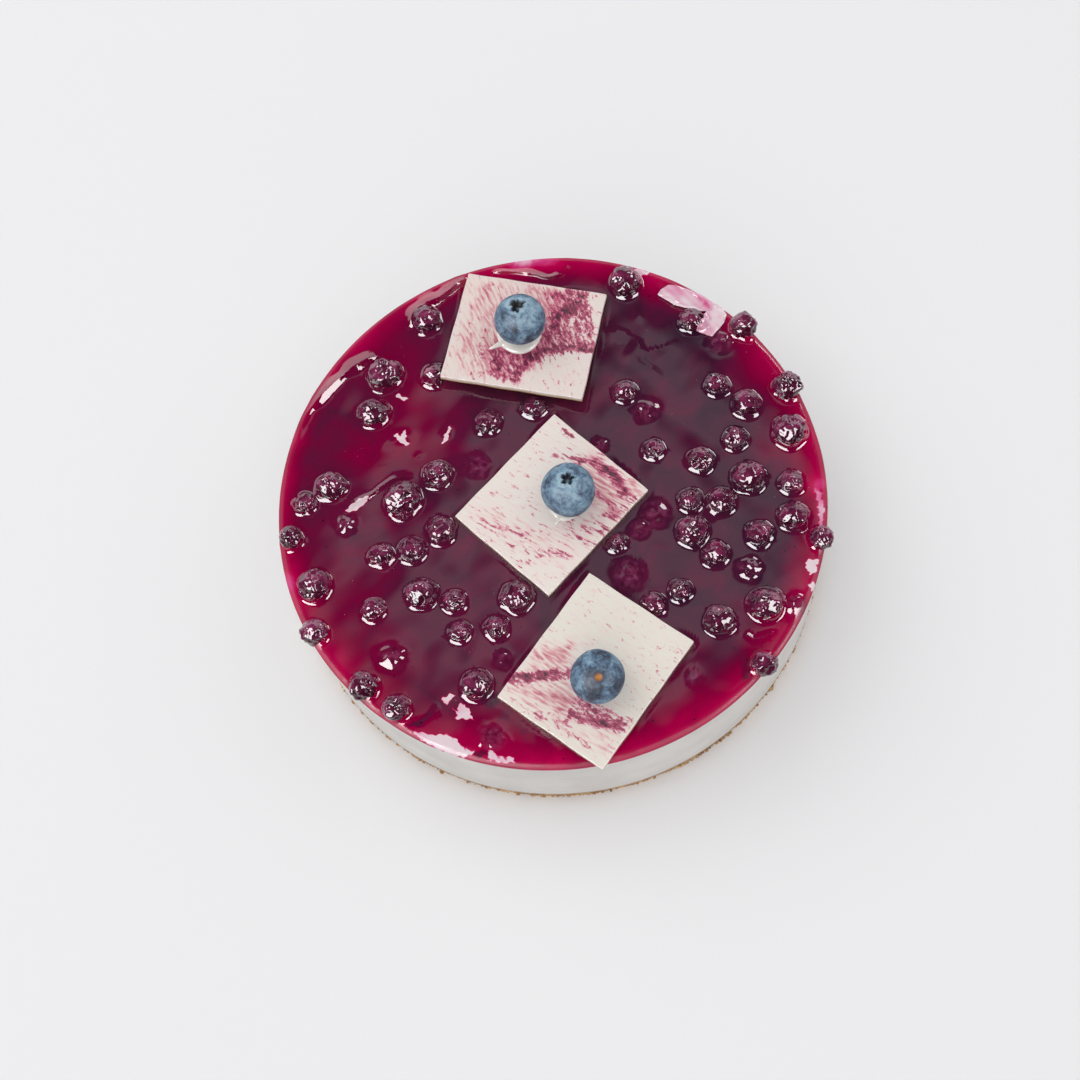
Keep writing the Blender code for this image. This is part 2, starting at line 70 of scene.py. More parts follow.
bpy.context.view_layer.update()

# %% [markdown]
# Operators act on whatever is selected, so small helpers select a piece, open it for editing and join pieces.
# Another moves a piece's place and turn into its mesh, because every finished object sits at the origin.

# %% Helpers for modelling
def only(piece):
    """Selects one piece and makes it active."""
    bpy.ops.object.select_all(action="DESELECT")
    piece.select_set(True)
    bpy.context.view_layer.objects.active = piece


def new_piece(name):
    """Names the primitive that was just added, and its mesh."""
    piece = bpy.context.active_object
    piece.name = name
    piece.data.name = name
    only(piece)
    return piece


def copy_of(mould):
    """A copy of a piece, with its own mesh."""
    piece = mould.copy()
    piece.data = mould.data.copy()
    bpy.context.scene.collection.objects.link(piece)
    return piece


def join_up(pieces):
    """Joins pieces into the first of them."""
    only(pieces[0])
    for piece in pieces:
        piece.select_set(True)
    bpy.ops.object.join()


def settle(piece):
    """Moves a piece's place, turn and size into its mesh."""
    only(piece)
    bpy.ops.object.transform_apply(location=True, rotation=True, scale=True)


def edit(action="SELECT"):
    """Opens the active piece for editing, with all of its mesh selected or nothing."""
    bpy.ops.object.mode_set(mode="EDIT")
    bpy.ops.mesh.select_all(action=action)


def leave_edit():
    """Points every face outwards, and leaves edit mode."""
    bpy.ops.mesh.select_all(action="SELECT")
    bpy.ops.mesh.normals_make_consistent(inside=False)
    bpy.ops.object.mode_set(mode="OBJECT")


def round_body(name, radius, foot, top, segments, steps, inset):
    """A disc drawn up in steps, so that its side can be shaped. It is left in edit mode, its top selected."""
    bpy.ops.mesh.primitive_circle_add(vertices=segments, radius=radius, fill_type="NGON")
    body = new_piece(name)
    body.location.z = foot
    settle(body)
    edit()
    for _ in range(steps):
        bpy.ops.mesh.extrude_region_move(TRANSFORM_OT_translate={"value": (0, 0, (top - foot) / steps)})
    bpy.ops.mesh.inset(thickness=inset)
    return body


def points_of(piece):
    flat = np.empty(len(piece.data.vertices) * 3, dtype=np.float32)
    piece.data.vertices.foreach_get("co", flat)
    return flat.reshape(-1, 3).astype(float)


def move_points(piece, points):
    piece.data.vertices.foreach_set("co", points.astype(np.float32).ravel())
    piece.data.update()


def roughen(piece, size, strength, shift=0.0):
    """Dents the active piece with a noise of a feature size, read a shift away along X."""
    texture = bpy.data.textures.new("dents", "CLOUDS")
    texture.noise_scale = size
    modifier = piece.modifiers.new("dents", "DISPLACE")
    modifier.texture = texture
    modifier.texture_coords = "LOCAL"
    modifier.strength = strength
    modifier.mid_level = 0.5
    move_points(piece, points_of(piece) + np.array([shift, 0, 0]))
    bpy.ops.object.modifier_apply(modifier="dents")
    move_points(piece, points_of(piece) - np.array([shift, 0, 0]))


def paint(piece, name, values):
    """Stores one number for each vertex, which a material reads by its name."""
    attribute = piece.data.attributes.new(name, "FLOAT", "POINT")
    attribute.data.foreach_set("value", values.astype(np.float32))


def hand_over(piece, finish, node):
    """Gives a piece its finish and its place in the frame."""
    piece.data.materials.clear()
    piece.data.materials.append(finish)
    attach(piece, "root")
    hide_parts(node)


# %% [markdown]
# Every shape below is a sum of a few soft curves, so these are written once.

# %% Helpers for shapes
def smooth_step(value, low, high):
    share = np.clip((value - low) / (high - low), 0.0, 1.0)
    return share * share * (3 - 2 * share)


def bell(value, power=2):
    """1 at 0, falling off to next to nothing at 2. A higher power gives a flatter top."""
    return np.exp(-(value**power))


def apart(angle, middle):
    """How far angles are from a middle one, the short way round."""
    return np.abs((angle - middle + math.pi) % FULL_TURN - math.pi)


def round_axis(points):
    """The angle of points round the upright axis, and their distance from it."""
    return np.arctan2(points[:, 1], points[:, 0]), np.hypot(points[:, 0], points[:, 1])


def turned(x, y, heading):
    """How far points lie along a heading, and across it."""
    return x * math.cos(heading) + y * math.sin(heading), y * math.cos(heading) - x * math.sin(heading)


def centred(points):
    return points - (points.max(axis=0) + points.min(axis=0)) / 2


def fitted(points, middle, half):
    """Points centred and stretched to a box."""
    points = centred(points)
    return points / points.max(axis=0) * np.array(half) + np.array(middle)


# %% [markdown]
# Colours are written as they look on a screen, and turned to linear light here. One function adds any node,
# and another lays one coat of colour over what is under it.

# %% Helpers for materials
# The sockets of a Mix node that mixes colours
MIX_FACTOR, MIX_A, MIX_B = 0, 6, 7


def linear(colour):
    channels = [int(colour[i : i + 2], 16) / 255 for i in (0, 2, 4)]
    return (*[c / 12.92 if c <= 0.04045 else ((c + 0.055) / 1.055) ** 2.4 for c in channels], 1.0)


def fill(tree, node, inputs):
    """Sets inputs to a value or a hex colour, or links them to a socket or to a node's first live output."""
    for name, value in inputs.items():
        if isinstance(value, bpy.types.Node):
            value = next(socket for socket in value.outputs if socket.enabled)
        if isinstance(value, bpy.types.NodeSocket):
            tree.links.new(value, node.inputs[name])
        else:
            node.inputs[name].default_value = linear(value) if isinstance(value, str) else value


def add(tree, kind, inputs=None, stops=(), **settings):
    """Adds a node with its settings, its inputs and, for a colour ramp, its stops."""
    node = tree.nodes.new("ShaderNode" + kind)
    for name, value in settings.items():
        setattr(node, name, value)
    fill(tree, node, inputs or {})
    if stops:
        elements = node.color_ramp.elements
        while len(elements) < len(stops):
            elements.new(1.0)
        for element, (position, colour) in zip(elements, stops):
            element.position = position
            element.color = linear(colour)
    return node


def coat_over(tree, under, colour, source, start=0.0, full=1.0, most=1.0):
    """Lays a colour over another: none of it where the source is at start, the most where it is full."""
    share = add(tree, "MapRange", {"Value": source, "From Min": start, "From Max": full, "To Max": most})
    return add(tree, "Mix", {MIX_FACTOR: share, MIX_A: under, MIX_B: colour}, data_type="RGBA")


def new_finish(name, roughness, ior, coat=0.0, coat_roughness=0.03):
    """A Principled material, its tree, its shader, and the socket with the place on the object."""
    finish = bpy.data.materials.new(name)
    finish.use_nodes = True
    tree = finish.node_tree
    shader = tree.nodes["Principled BSDF"]
    looks = {"Roughness": roughness, "IOR": ior, "Coat Weight": coat, "Coat Roughness": coat_roughness}
    fill(tree, shader, looks)
    return finish, tree, shader, add(tree, "TexCoord").outputs["Object"]


# %% [markdown]
# ## The camera
# The photograph looks steeply down on the cake, a little turned. The eye's place was worked out from the
# round rim and the round foot, which appear as two ellipses.

# %% Camera
EYE = Vector((0.0, -0.2292, 0.6082))
ROLL = math.radians(-10.04)
aim = (-EYE).to_track_quat("-Z", "Y") @ Quaternion((0, 0, 1), ROLL)
bpy.ops.object.camera_add(location=EYE, rotation=aim.to_euler())
camera = bpy.context.active_object
camera.name = "camera"
camera.data.lens = 55.57
camera.data.shift_x = -0.0171
camera.data.shift_y = 0.0033
camera.data.clip_start = 0.01
bpy.context.scene.camera = camera
print("camera at", tuple(round(v, 3) for v in camera.location))

# %% [markdown]
# ## The set cream
# Cream cheese that set in a steel ring has a smooth straight side, with faint level streaks where the ring
# was drawn off. A ring of edges is drawn up in many steps, so that the side can carry that unevenness.

# %% Cream side
GLAZE_LEVEL = 47.7 * MM
CAKE_RADIUS = 100 * MM
CRUMB_TOP = 5 * MM
CREAM_TOP = GLAZE_LEVEL - 2.5 * MM


def wobble(angle, height, seed, size):
    """A level streaky unevenness round the cake, at a height."""
    rng = random.Random(seed)
    total = np.zeros_like(angle)
    for turns in (3, 5, 8, 13, 21, 34):
        phase = rng.uniform(0, FULL_TURN)
        drift = rng.uniform(-1, 1) * turns * 6
        total += np.sin(turns * angle + phase + drift * height / CAKE_RADIUS) / math.sqrt(turns)
    return size * total / 2


cream = round_body(
    "cream_body", CAKE_RADIUS - 0.2 * MM, foot=CRUMB_TOP - 0.4 * MM, top=CREAM_TOP, segments=360, steps=60,
    inset=0.8 * MM,
)
bpy.ops.transform.translate(value=(0, 0, 0.3 * MM))
leave_edit()

points = points_of(cream)
angle, radius = round_axis(points)
side = smooth_step(radius, CAKE_RADIUS - 0.9 * MM, CAKE_RADIUS - 0.3 * MM)
rng = random.Random(3)
streaks = np.zeros_like(angle)
for _ in range(14):
    level = rng.uniform(CRUMB_TOP, CREAM_TOP)
    thickness = rng.uniform(0.5, 2.2) * MM
    reach = rng.uniform(0.4, 1.4)
    along = bell(apart(angle, rng.uniform(-math.pi, math.pi)) / reach)
    streaks += rng.uniform(-0.16, 0.08) * MM * along * bell((points[:, 2] - level) / thickness)
grow = 1 + side * (wobble(angle, points[:, 2], 4, 0.12 * MM) + streaks) / CAKE_RADIUS
points[:, :2] *= grow[:, None]
move_points(cream, points)
bpy.ops.object.shade_smooth_by_angle(angle=math.radians(40))
print("cream body:", len(cream.data.vertices), "points")

# %% [markdown]
# Cream cheese is off-white and hardly shiny. It carries fine level streaks of a slightly darker tone. Berry
# juice stains it pink at the top edge, and the crumb darkens it at the foot.

# %% Cream finish
def set_cream():
    finish, tree, shader, place = new_finish("set_cream_cheese", 0.48, 1.45)
    stretch = add(tree, "Mapping", {"Vector": place, "Scale": (8.0, 8.0, 900.0)})
    streak = add(tree, "TexNoise", {"Vector": stretch, "Scale": 1.0, "Detail": 3.0})
    cloud = add(tree, "TexNoise", {"Vector": place, "Scale": 1 / (18 * MM), "Detail": 2.0})
    height = add(tree, "SeparateXYZ", {"Vector": place}).outputs["Z"]
    tone = add(tree, "Math", {0: streak, 1: 0.55, 2: cloud}, operation="MULTIPLY_ADD")
    body = add(tree, "ValToRGB", {"Fac": tone}, [(0.55, "cfccc7"), (0.85, "d9d6d1"), (1.0, "dfdcd6")])
    ragged = add(tree, "Math", {0: streak, 1: 0.8 * MM, 2: height}, operation="MULTIPLY_ADD")
    juiced = coat_over(tree, body, "cf6f92", ragged, GLAZE_LEVEL - 3.9 * MM, GLAZE_LEVEL - 2.6 * MM)
    soaked = coat_over(tree, juiced, "a58a72", ragged, CRUMB_TOP + 1.9 * MM, CRUMB_TOP + 0.2 * MM)
    bump = add(tree, "Bump", {"Height": tone, "Strength": 0.18, "Distance": 0.2 * MM})
    fill(tree, shader, {"Base Color": soaked, "Normal": bump})
    return finish


hand_over(cream, set_cream(), "cream_filling")

# %% [markdown]
# ## The crumb base
# Crushed biscuit pressed with butter leaves a ragged edge of grains, from dust to bits of 2 mm. The body is a
# ring that noise roughens at two sizes, and loose grains are pressed half way into it.

# %% Crumb body
CRUMB_STEPS = 9
CRUMB_RADIUS = 99.3 * MM

crumb = round_body(
    "crumb_disc", CRUMB_RADIUS, foot=0, top=CRUMB_TOP, segments=720, steps=CRUMB_STEPS, inset=1.5 * MM
)
leave_edit()
for size, strength in ((2.6 * MM, 1.0 * MM), (0.9 * MM, 0.55 * MM)):
    roughen(crumb, size, strength)
points = points_of(crumb)
points[:, 2] = np.clip(points[:, 2], 0.0, CRUMB_TOP)
points[points[:, 2] < CRUMB_TOP / CRUMB_STEPS * 0.5, 2] = 0.0
move_points(crumb, points)

# %% Loose grains
GRAINS = 1500


def grain_mesh(seed):
    """One angular grain of biscuit, a millimetre across."""
    bpy.ops.mesh.primitive_ico_sphere_add(subdivisions=1, radius=0.5 * MM)
    grain = new_piece("grain")
    rng = random.Random(seed)
    for vertex in grain.data.vertices:
        vertex.co *= rng.uniform(0.65, 1.25)
    return grain


rng = random.Random(21)
moulds = [grain_mesh(seed) for seed in range(5)]
grains = [crumb]
for _ in range(GRAINS):
    grain = copy_of(rng.choice(moulds))
    turn = rng.uniform(0, FULL_TURN)
    out = CRUMB_RADIUS + rng.uniform(-0.5, 0.45) * MM
    size = rng.uniform(0.35, 1.0) ** 2 * 1.9
    height = rng.uniform(0.5, 1.0) * size * 0.6 * MM if rng.random() < 0.35 else rng.uniform(0.5, 4.8) * MM
    spin = Quaternion([rng.gauss(0, 1) for _ in range(4)]).normalized()
    place = Matrix.Translation((out * math.cos(turn), out * math.sin(turn), height))
    grain.matrix_world = place @ spin.to_matrix().to_4x4() @ Matrix.Scale(size, 4)
    grains.append(grain)
for mould in moulds:
    bpy.data.objects.remove(mould)
join_up(grains)
points = points_of(crumb)
points[:, 2] = np.maximum(points[:, 2], 0.0)
move_points(crumb, points)
bpy.ops.object.shade_smooth_by_angle(angle=math.radians(25))
print("crumb base:", len(crumb.data.polygons), "faces")

# %% [markdown]
# Baked biscuit crumb is matt and sandy. Butter darkens it in patches, and it is brownest where the wet
# filling has soaked in along the top.

# %% Crumb finish
def biscuit_crumb():
    finish, tree, shader, place = new_finish("pressed_biscuit_crumb", 0.85, 1.45)
    grain = add(tree, "TexVoronoi", {"Vector": place, "Scale": 1 / (1.1 * MM)})
    cloud = add(tree, "TexNoise", {"Vector": place, "Scale": 1 / (4 * MM), "Detail": 4.0})
    shade = add(tree, "SeparateColor", {"Color": grain.outputs["Color"]}).outputs["Red"]
    blend = add(tree, "Math", {0: shade, 1: 0.45, 2: cloud}, operation="MULTIPLY_ADD")
    stops = [(0.3, "725435"), (0.55, "a57e51"), (0.8, "c39963"), (1.0, "e2c08a")]
    body = add(tree, "ValToRGB", {"Fac": blend}, stops)
    height = add(tree, "SeparateXYZ", {"Vector": place}).outputs["Z"]
    ragged = add(tree, "Math", {0: cloud, 1: 2.4 * MM, 2: height}, operation="MULTIPLY_ADD")
    soaked = coat_over(tree, body, "9c7450", ragged, 4.2 * MM, 5.8 * MM, 0.75)
    bump = add(tree, "Bump", {"Height": blend, "Strength": 0.6, "Distance": 0.3 * MM})
    fill(tree, shader, {"Base Color": soaked, "Normal": bump})
    return finish


hand_over(crumb, biscuit_crumb(), "crumb_base")

# %% [markdown]
# ## The jelly's surface
# The jelly was poured round the berries and set. Its surface is a height over each point: gentle waves, folds
# where it was pushed, smooth humps over the berries that it covers, and a steep climb up the side of each
# berry that stands in it. Since all of these are heights, they are written as functions and added up.

# %% Where the berries and plaques are
sunk = []
for name in sorted(frame["nodes"]):
    if name.startswith("blueberry_"):
        low, high = (Vector(corner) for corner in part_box(name))
        sunk.append((name, (low + high) / 2, (high - low) / 2))

# Centre, length and width in mm, the long side's angle, and the near side's lift
PLAQUES = [
    {"x": 0.9, "y": 64.7, "length": 53.8, "width": 46.4, "turn": -21.0, "lift": 4.0},
    {"x": 0.0, "y": -3.0, "length": 53.4, "width": 46.0, "turn": 38.3, "lift": 0.0},
    {"x": 5.1, "y": -67.2, "length": 55.3, "width": 44.8, "turn": 44.8, "lift": 0.0},
]
PLAQUE_GAP = 0.3 * MM
PLAQUE_THICKNESS = 2.4 * MM

# Berries that the jelly covers: x, y and width in mm, and the rise of the hump over them
COVERED = [
    (-24, 17, 8, 0.7), (-75, 3.5, 6, 1.3), (-65, -49, 7.5, 1.5), (73, 50, 8, 1.1), (40, 27.5, 7.5, 1.2),
    (21, 17, 5, 0.6), (29.5, -18, 6, 0.7), (36.5, -13, 8.5, 0.8), (23, -34, 10, 0.8), (65, -40, 7, 1.5),
    (78.5, -56.5, 7.5, 1.2), (-34, -84, 8, 0.7), (-26, -57, 5, 0.5), (38, -75, 5, 0.4),
]

# Folds: the ridge line's points and its rise in mm, and how wide its slopes are on its left and right
FOLDS = [
    ([(-91, 41), (-85.5, 49), (-80, 54.5), (-73, 60), (-66, 65), (-58, 68.5), (-53, 69)], 1.9, 4.6, 2.2),
    ([(-76, 8), (-71, 11), (-65, 13.2), (-60, 16), (-55, 18), (-47, 18)], 0.9, 1.8, 1.2),
    ([(-42, 78), (-39, 84), (-34, 87), (-28, 89), (-22, 92.5), (-16, 97)], 2.1, 4.8, 2.0),
    ([(28, 62), (34, 62.6), (39, 60), (42.5, 56), (44, 51.5), (50, 51.5), (58, 54)], 0.3, 1.7, 4.5),
    ([(38, 55), (44, 47), (49, 38)], 0.17, 2.4, 3.4),
    ([(-10, 97), (0, 95), (8, 92.6), (14, 89.6), (21, 90.5)], 1.0, 2.3, 0.8),
    ([(-66, -72), (-58, -74), (-50, -70)], 0.5, 2.0, 2.0),
    ([(58, -63), (62, -66), (70, -64)], 0.45, 2.0, 1.2),
]

# Drops and small swellings that catch a window: x, y, width and height in mm
SWELLINGS = [
    (-50.5, 34, 6, 0.5), (-33.5, 33, 3.6, 0.4), (-57, 33.5, 4.5, 0.25), (-45, 26, 2.4, 0.2),
    (56.5, -16, 5.5, 0.8), (-38, -85.5, 3.4, 0.4), (-29.5, -86, 3, 0.4), (-15.5, -86.5, 4.6, 0.4),
    (22, 95.5, 4, 0.4), (45, 67, 5, 0.2), (-27, -56, 5, 0.3),
]

# %% The height of the jelly
WAVE_HEIGHT = 0.3 * MM
WAVE_LENGTHS = (43 * MM, 61 * MM)
GLAZE_RADIUS = 99.4 * MM

# The jelly climbs a berry in a lip: how high and how far out, on the far side and on the near side
LIP_FAR = (0.45 * MM, 1.0 * MM)
LIP_NEAR = (1.5 * MM, 2.1 * MM)

# The surface sinks gently towards the rim, then rounds over it
SINK_START = 84 * MM
SINK = 0.45 * MM
ROUND_START = 98.0 * MM
ROUND_DROP = 0.4 * MM

# Where the rim sagged: the angle and half its spread in degrees, and how much wider and deeper it is, in mm
SAGS = [(-12, 8, 1.2, 0.4), (42, 10, 1.2, 0.4), (178, 12, 1.2, 0.4)]


def waves(x, y):
    """The slow waves of the pour, and finer ripples at many angles."""
    slow = np.sin(FULL_TURN * x / WAVE_LENGTHS[0] + 1) * np.cos(FULL_TURN * y / WAVE_LENGTHS[1])
    total = WAVE_HEIGHT * slow
    rng = random.Random(8)
    for _ in range(14):
        length = rng.uniform(8, 30) * MM
        along, _ = turned(x, y, rng.uniform(0, math.pi))
        total += 0.0012 * length * np.sin(FULL_TURN * along / length + rng.uniform(0, FULL_TURN))
    return total


def curve_through(corners, steps=8):
    """Points in metres on a smooth curve through corners given in mm."""
    ends = [corners[0], *corners, corners[-1]]
    found = []
    for a, b, c, d in zip(ends, ends[1:], ends[2:], ends[3:]):
        for step in range(steps):
            t = step / steps
            weights = (-t + 2 * t**2 - t**3, 2 - 5 * t**2 + 3 * t**3, t + 4 * t**2 - 3 * t**3, t**3 - t**2)
            found.append([0.5 * MM * sum(w * p[i] for w, p in zip(weights, (a, b, c, d))) for i in (0, 1)])
    found.append([corners[-1][0] * MM, corners[-1][1] * MM])
    return np.array(found)


def nearest_on(x, y, line):
    """How far points lie from a line, on which side of it, and how far along it."""
    best, side, along = np.full_like(x, np.inf), np.zeros_like(x), np.zeros_like(x)
    for i, (a, b) in enumerate(zip(line, line[1:])):
        run = b - a
        share = np.clip(((x - a[0]) * run[0] + (y - a[1]) * run[1]) / (run @ run), 0, 1)
        dx, dy = x - a[0] - share * run[0], y - a[1] - share * run[1]
        away = np.hypot(dx, dy)
        nearer = away < best
        best = np.where(nearer, away, best)
        side = np.where(nearer, np.sign(run[0] * dy - run[1] * dx), side)
        along = np.where(nearer, (i + share) / (len(line) - 1), along)
    return best, side, along


def fold(x, y, corners, rise, left, right):
    """A ridge along a curve: an even slope of its own width on either side, fading at both ends."""
    line = curve_through(corners)
    reach_x, reach_y = np.ptp(line, axis=0) / 2 + 2.8 * max(left, right) * MM
    middle_x, middle_y = line.mean(axis=0)
    near = (np.abs(x - middle_x) < reach_x) & (np.abs(y - middle_y) < reach_y)
    total = np.zeros_like(x)
    if not near.any():
        return total
    away, side, along = nearest_on(x[near], y[near], line)
    distance = along * np.hypot(*np.diff(line, axis=0).T).sum() / MM
    uneven = 1 + 0.22 * np.sin(distance / 2.7 + rise * 40) + 0.1 * np.sin(distance / 1.3 + left * 7)
    share = away / (np.where(side > 0, left, right) * MM * uneven)
    fade = smooth_step(along, 0.0, 0.2) * (1 - smooth_step(along, 0.8, 1.0))
    tent = np.sqrt((1 - share) ** 2 + 0.02) + (1 - share)
    total[near] = 0.5 * rise * MM * fade * (0.7 + 0.3 * uneven) * tent
    return total


def uneven_round(angle, rng, size):
    """A smooth random unevenness round a circle."""
    return size * sum(rng.uniform(0.3, 1) * np.sin(n * angle + rng.uniform(0, 6.3)) for n in (1, 2, 3, 5))


def berry_lips(x, y):
    """The climb of the jelly up each berry that stands in it."""
    total = np.zeros_like(x)
    rng = random.Random(12)
    for _, middle, half in sunk:
        dx, dy = x - middle.x, y - middle.y
        near = (np.abs(dx) < half.x + 3 * MM) & (np.abs(dy) < half.y + 3 * MM)
        size = rng.uniform(0.65, 1.25)
        dx, dy = dx[near], dy[near]
        angle = np.arctan2(dy, dx)
        outline = 1 + uneven_round(angle, rng, 0.035)
        strength = size * np.maximum(0.1, 1 + uneven_round(angle, rng, 0.3))
        nearness = 0.5 - 0.5 * np.sin(angle)
        climb, width = (far + (close - far) * nearness for far, close in zip(LIP_FAR, LIP_NEAR))
        climb = np.minimum(climb * strength, 0.45 * (middle.z + half.z - GLAZE_LEVEL))
        level = (GLAZE_LEVEL + LIP_FAR[0] - middle.z) / half.z
        slim = math.sqrt(1 - min(0.9, abs(level)) ** 2)
        widths = np.hypot(dx / (half.x * slim), dy / (half.y * slim)) / outline
        away = np.hypot(dx, dy) * (1 - 1 / np.maximum(widths, 1e-6))
        share = np.clip(away / width, -0.1, 1)
        total[near] += (climb * (1 - share) ** 2) ** 2
    return np.sqrt(total)


def humps(x, y):
    """The smooth rise over each covered berry, and the small swellings."""
    total = np.zeros_like(x)
    rng = random.Random(17)
    for bx, by, width, rise in COVERED:
        dx, dy = x / MM - bx, y / MM - by
        share = np.hypot(dx, dy) / (0.5 * width) / (1 + uneven_round(np.arctan2(dy, dx), rng, 0.06))
        dents = np.zeros_like(x)
        for _ in range(7):
            along, _ = turned(dx, dy, rng.uniform(0, math.pi))
            length = rng.uniform(2.2, 6)
            dents += 0.075 * np.sin(FULL_TURN * along / length + rng.uniform(0, 6)) * length / 4
        total += rise * MM * (1 + dents) * np.exp(-(share**3) * 0.8)
    for bx, by, width, rise in SWELLINGS:
        along, across = turned(x / MM - bx, y / MM - by, rng.uniform(0, math.pi))
        total += rise * MM * bell(np.hypot(along / rng.uniform(1.1, 1.7), across) / (0.42 * width))
    return total


def outside_plaques(x, y):
    """0 under a plaque, rising to 1 a little way from its edge."""
    share = np.ones_like(x)
    for plaque in PLAQUES:
        u, v = turned(x - plaque["x"] * MM, y - plaque["y"] * MM, math.radians(plaque["turn"]))
        beyond_u = np.maximum(0, np.abs(u) - plaque["length"] / 2 * MM)
        beyond_v = np.maximum(0, np.abs(v) - plaque["width"] / 2 * MM)
        share = np.minimum(share, smooth_step(np.hypot(beyond_u, beyond_v), 0.2 * MM, 2.6 * MM))
    return share


def rim_drop(radius, angle):
    """How far the surface lies below its level, near the rim."""
    start, depth = np.full_like(radius, ROUND_START), np.full_like(radius, ROUND_DROP)
    for middle, spread, wider, deeper in SAGS:
        share = bell(apart(angle, math.radians(middle)) / math.radians(spread))
        start -= wider * MM * share
        depth += deeper * MM * share
    sunken = np.clip((radius - SINK_START) / (GLAZE_RADIUS - SINK_START), 0, 1) ** 2
    rounded = np.clip((radius - start) / (GLAZE_RADIUS - start), 0, 1) ** 1.6
    return SINK * sunken + depth * rounded


def jelly_height(x, y):
    """Height of the jelly's surface over points of the plane."""
    radius = np.hypot(x, y)
    relief = waves(x, y) + humps(x, y) + berry_lips(x, y)
    for row in FOLDS:
        relief += fold(x, y, *row)
    inside = 1 - 0.6 * smooth_step(radius, GLAZE_RADIUS - 4 * MM, GLAZE_RADIUS)
    return GLAZE_LEVEL + relief * outside_plaques(x, y) * inside - rim_drop(radius, np.arctan2(y, x))


def jelly_normals(x, y, step=0.04 * MM):
    """The surface's exact direction at points of the plane, from its slope."""
    slope_x = (jelly_height(x + step, y) - jelly_height(x - step, y)) / (2 * step)
    slope_y = (jelly_height(x, y + step) - jelly_height(x, y - step)) / (2 * step)
    normals = np.column_stack([-slope_x, -slope_y, np.ones_like(x)])
    return normals / np.linalg.norm(normals, axis=1)[:, None]


print("standing berries:", len(sunk), "covered:", len(COVERED), "folds:", len(FOLDS))

# %% [markdown]
# The jelly looks plum where it is deep, and magenta where light reaches the cream under it. How thin it is
# varies along the rim, and in patches read from the photograph. Each point is painted with it later.
# Pale patches painted on it are reflections of the windows on its wet surface.

# %% How thin the jelly is, and its painted reflections
RIM_GLOW_START = 84 * MM
# Patches where it is thinner, and pale patches of painted reflection: x, y and radius in mm, and how much
THIN_PATCHES = [
    (-46, 40, 17, 0.36), (-52, 68, 15, 0.4), (-66, 28, 14, 0.25), (-78, 44, 11, -0.25), (-52, 52, 7, -0.2),
    (-82, -52, 20, 0.4), (-90, -20, 14, 0.3), (-36, -86, 20, 0.4), (28, -88, 24, 0.3), (72, -64, 16, 0.3),
    (88, 6, 12, 0.4), (84, 36, 12, 0.3), (35, 92, 12, 0.25), (56, 80, 7, 0.5),
]
GLINT_PATCHES = [
    (5, 98, 6, 0.26), (12, 97, 6, 0.2), (18, 94, 4, 0.16), (94, -13, 5, 0.3), (-98, -14, 5, 0.15),
    (-92, -44, 8, 0.08),
]
# Crisp pale shapes of painted reflection: how pale each is, and the outline in mm. Below 0 it is a darker
# patch.
GLINT_AND_DARK_SHAPES = [
    (0.36, [(-62, -77), (-58, -77.6), (-55, -79.5), (-50, -80), (-47, -82), (-44.5, -86), (-40.5, -88),
            (-45, -89.4), (-51, -86.6), (-57, -82)]),
    (0.36, [(-36.5, -88), (-34, -89.5), (-32.5, -91.2), (-28, -92.2), (-27.6, -94.2), (-32, -93.6),
            (-36.5, -91.8)]),
    (0.36, [(-50, -67), (-48.5, -66.8), (-46.5, -66), (-44.8, -66.8), (-46, -68.5), (-48.5, -69.8)]),
    (0.35, [(-46.5, -71), (-45, -72.5), (-43.6, -70), (-41.8, -70.6), (-40.2, -74), (-39.8, -76.8),
            (-43, -76), (-46, -75.5), (-45, -74.2)]),
    (0.4, [(-53, 35.5), (-51.5, 36), (-50.5, 34.8), (-48.7, 37.2), (-48.2, 35), (-49.2, 33), (-47.8, 31.5),
           (-49.3, 30), (-50.5, 32), (-52.2, 33)]),
    (0.36, [(-50.5, 52), (-49, 52.2), (-47.5, 50.7), (-45.6, 49.2), (-47.5, 48.8), (-49.2, 50)]),
    (0.4, [(-36.3, 28.2), (-34.4, 29), (-32.6, 32), (-31.3, 35.5), (-32.6, 34.9), (-34.8, 31.5)]),
    (0.4, [(-75, 8.6), (-72, 8.2), (-69, 9.2), (-66.3, 11), (-65, 13.2), (-69, 12.7), (-72, 11)]),
    (0.42, [(84.8, -41), (87, -40.2), (90, -41), (88.5, -44.5), (86, -46.5), (85, -44)]),
    (0.42, [(84.2, -49.5), (86.5, -48.6), (87.2, -50.5), (85, -52)]),
    (0.24, [(94.4, -14), (96.6, -16), (96.4, -22), (95, -26), (93.6, -31), (92.9, -28), (93.8, -22)]),
    (0.3, [(46, 86.5), (48, 88), (50, 86.4), (53, 85.2), (51, 83.8), (48.5, 83.6)]),
    (-0.7, [(-63, -74.5), (-57, -73), (-50, -67.5), (-49.5, -68.7), (-53, -71.8), (-58, -76)]),
    (-0.8, [(-36.5, -71), (-33, -67), (-29, -70), (-31, -74), (-35, -74.5)]),
    (-0.7, [(-31, -77.5), (-28, -74.5), (-26, -77), (-28, -79.5)]),
    (-0.65, [(-25, -80), (-22, -79), (-20, -82), (-21, -86), (-24, -85)]),
    (-0.6, [(-42, -88.5), (-38, -87.5), (-36.5, -89.5), (-40, -90.5)]),
    (-0.6, [(56, -72), (58, -70), (59, -74), (57, -79), (54.5, -80), (55, -76)]),
    (-0.7, [(33, -75), (37, -74), (40, -77), (36, -78)]),
]


def flesh_share(x, y):
    """How much of a covered berry's flesh shows through the jelly."""
    total = np.zeros_like(x)
    for bx, by, width, _ in COVERED:
        share = np.hypot(x / MM - bx, y / MM - by) / (0.5 * width)
        total = np.maximum(total, np.exp(-(share**4) * 0.7))
    return total


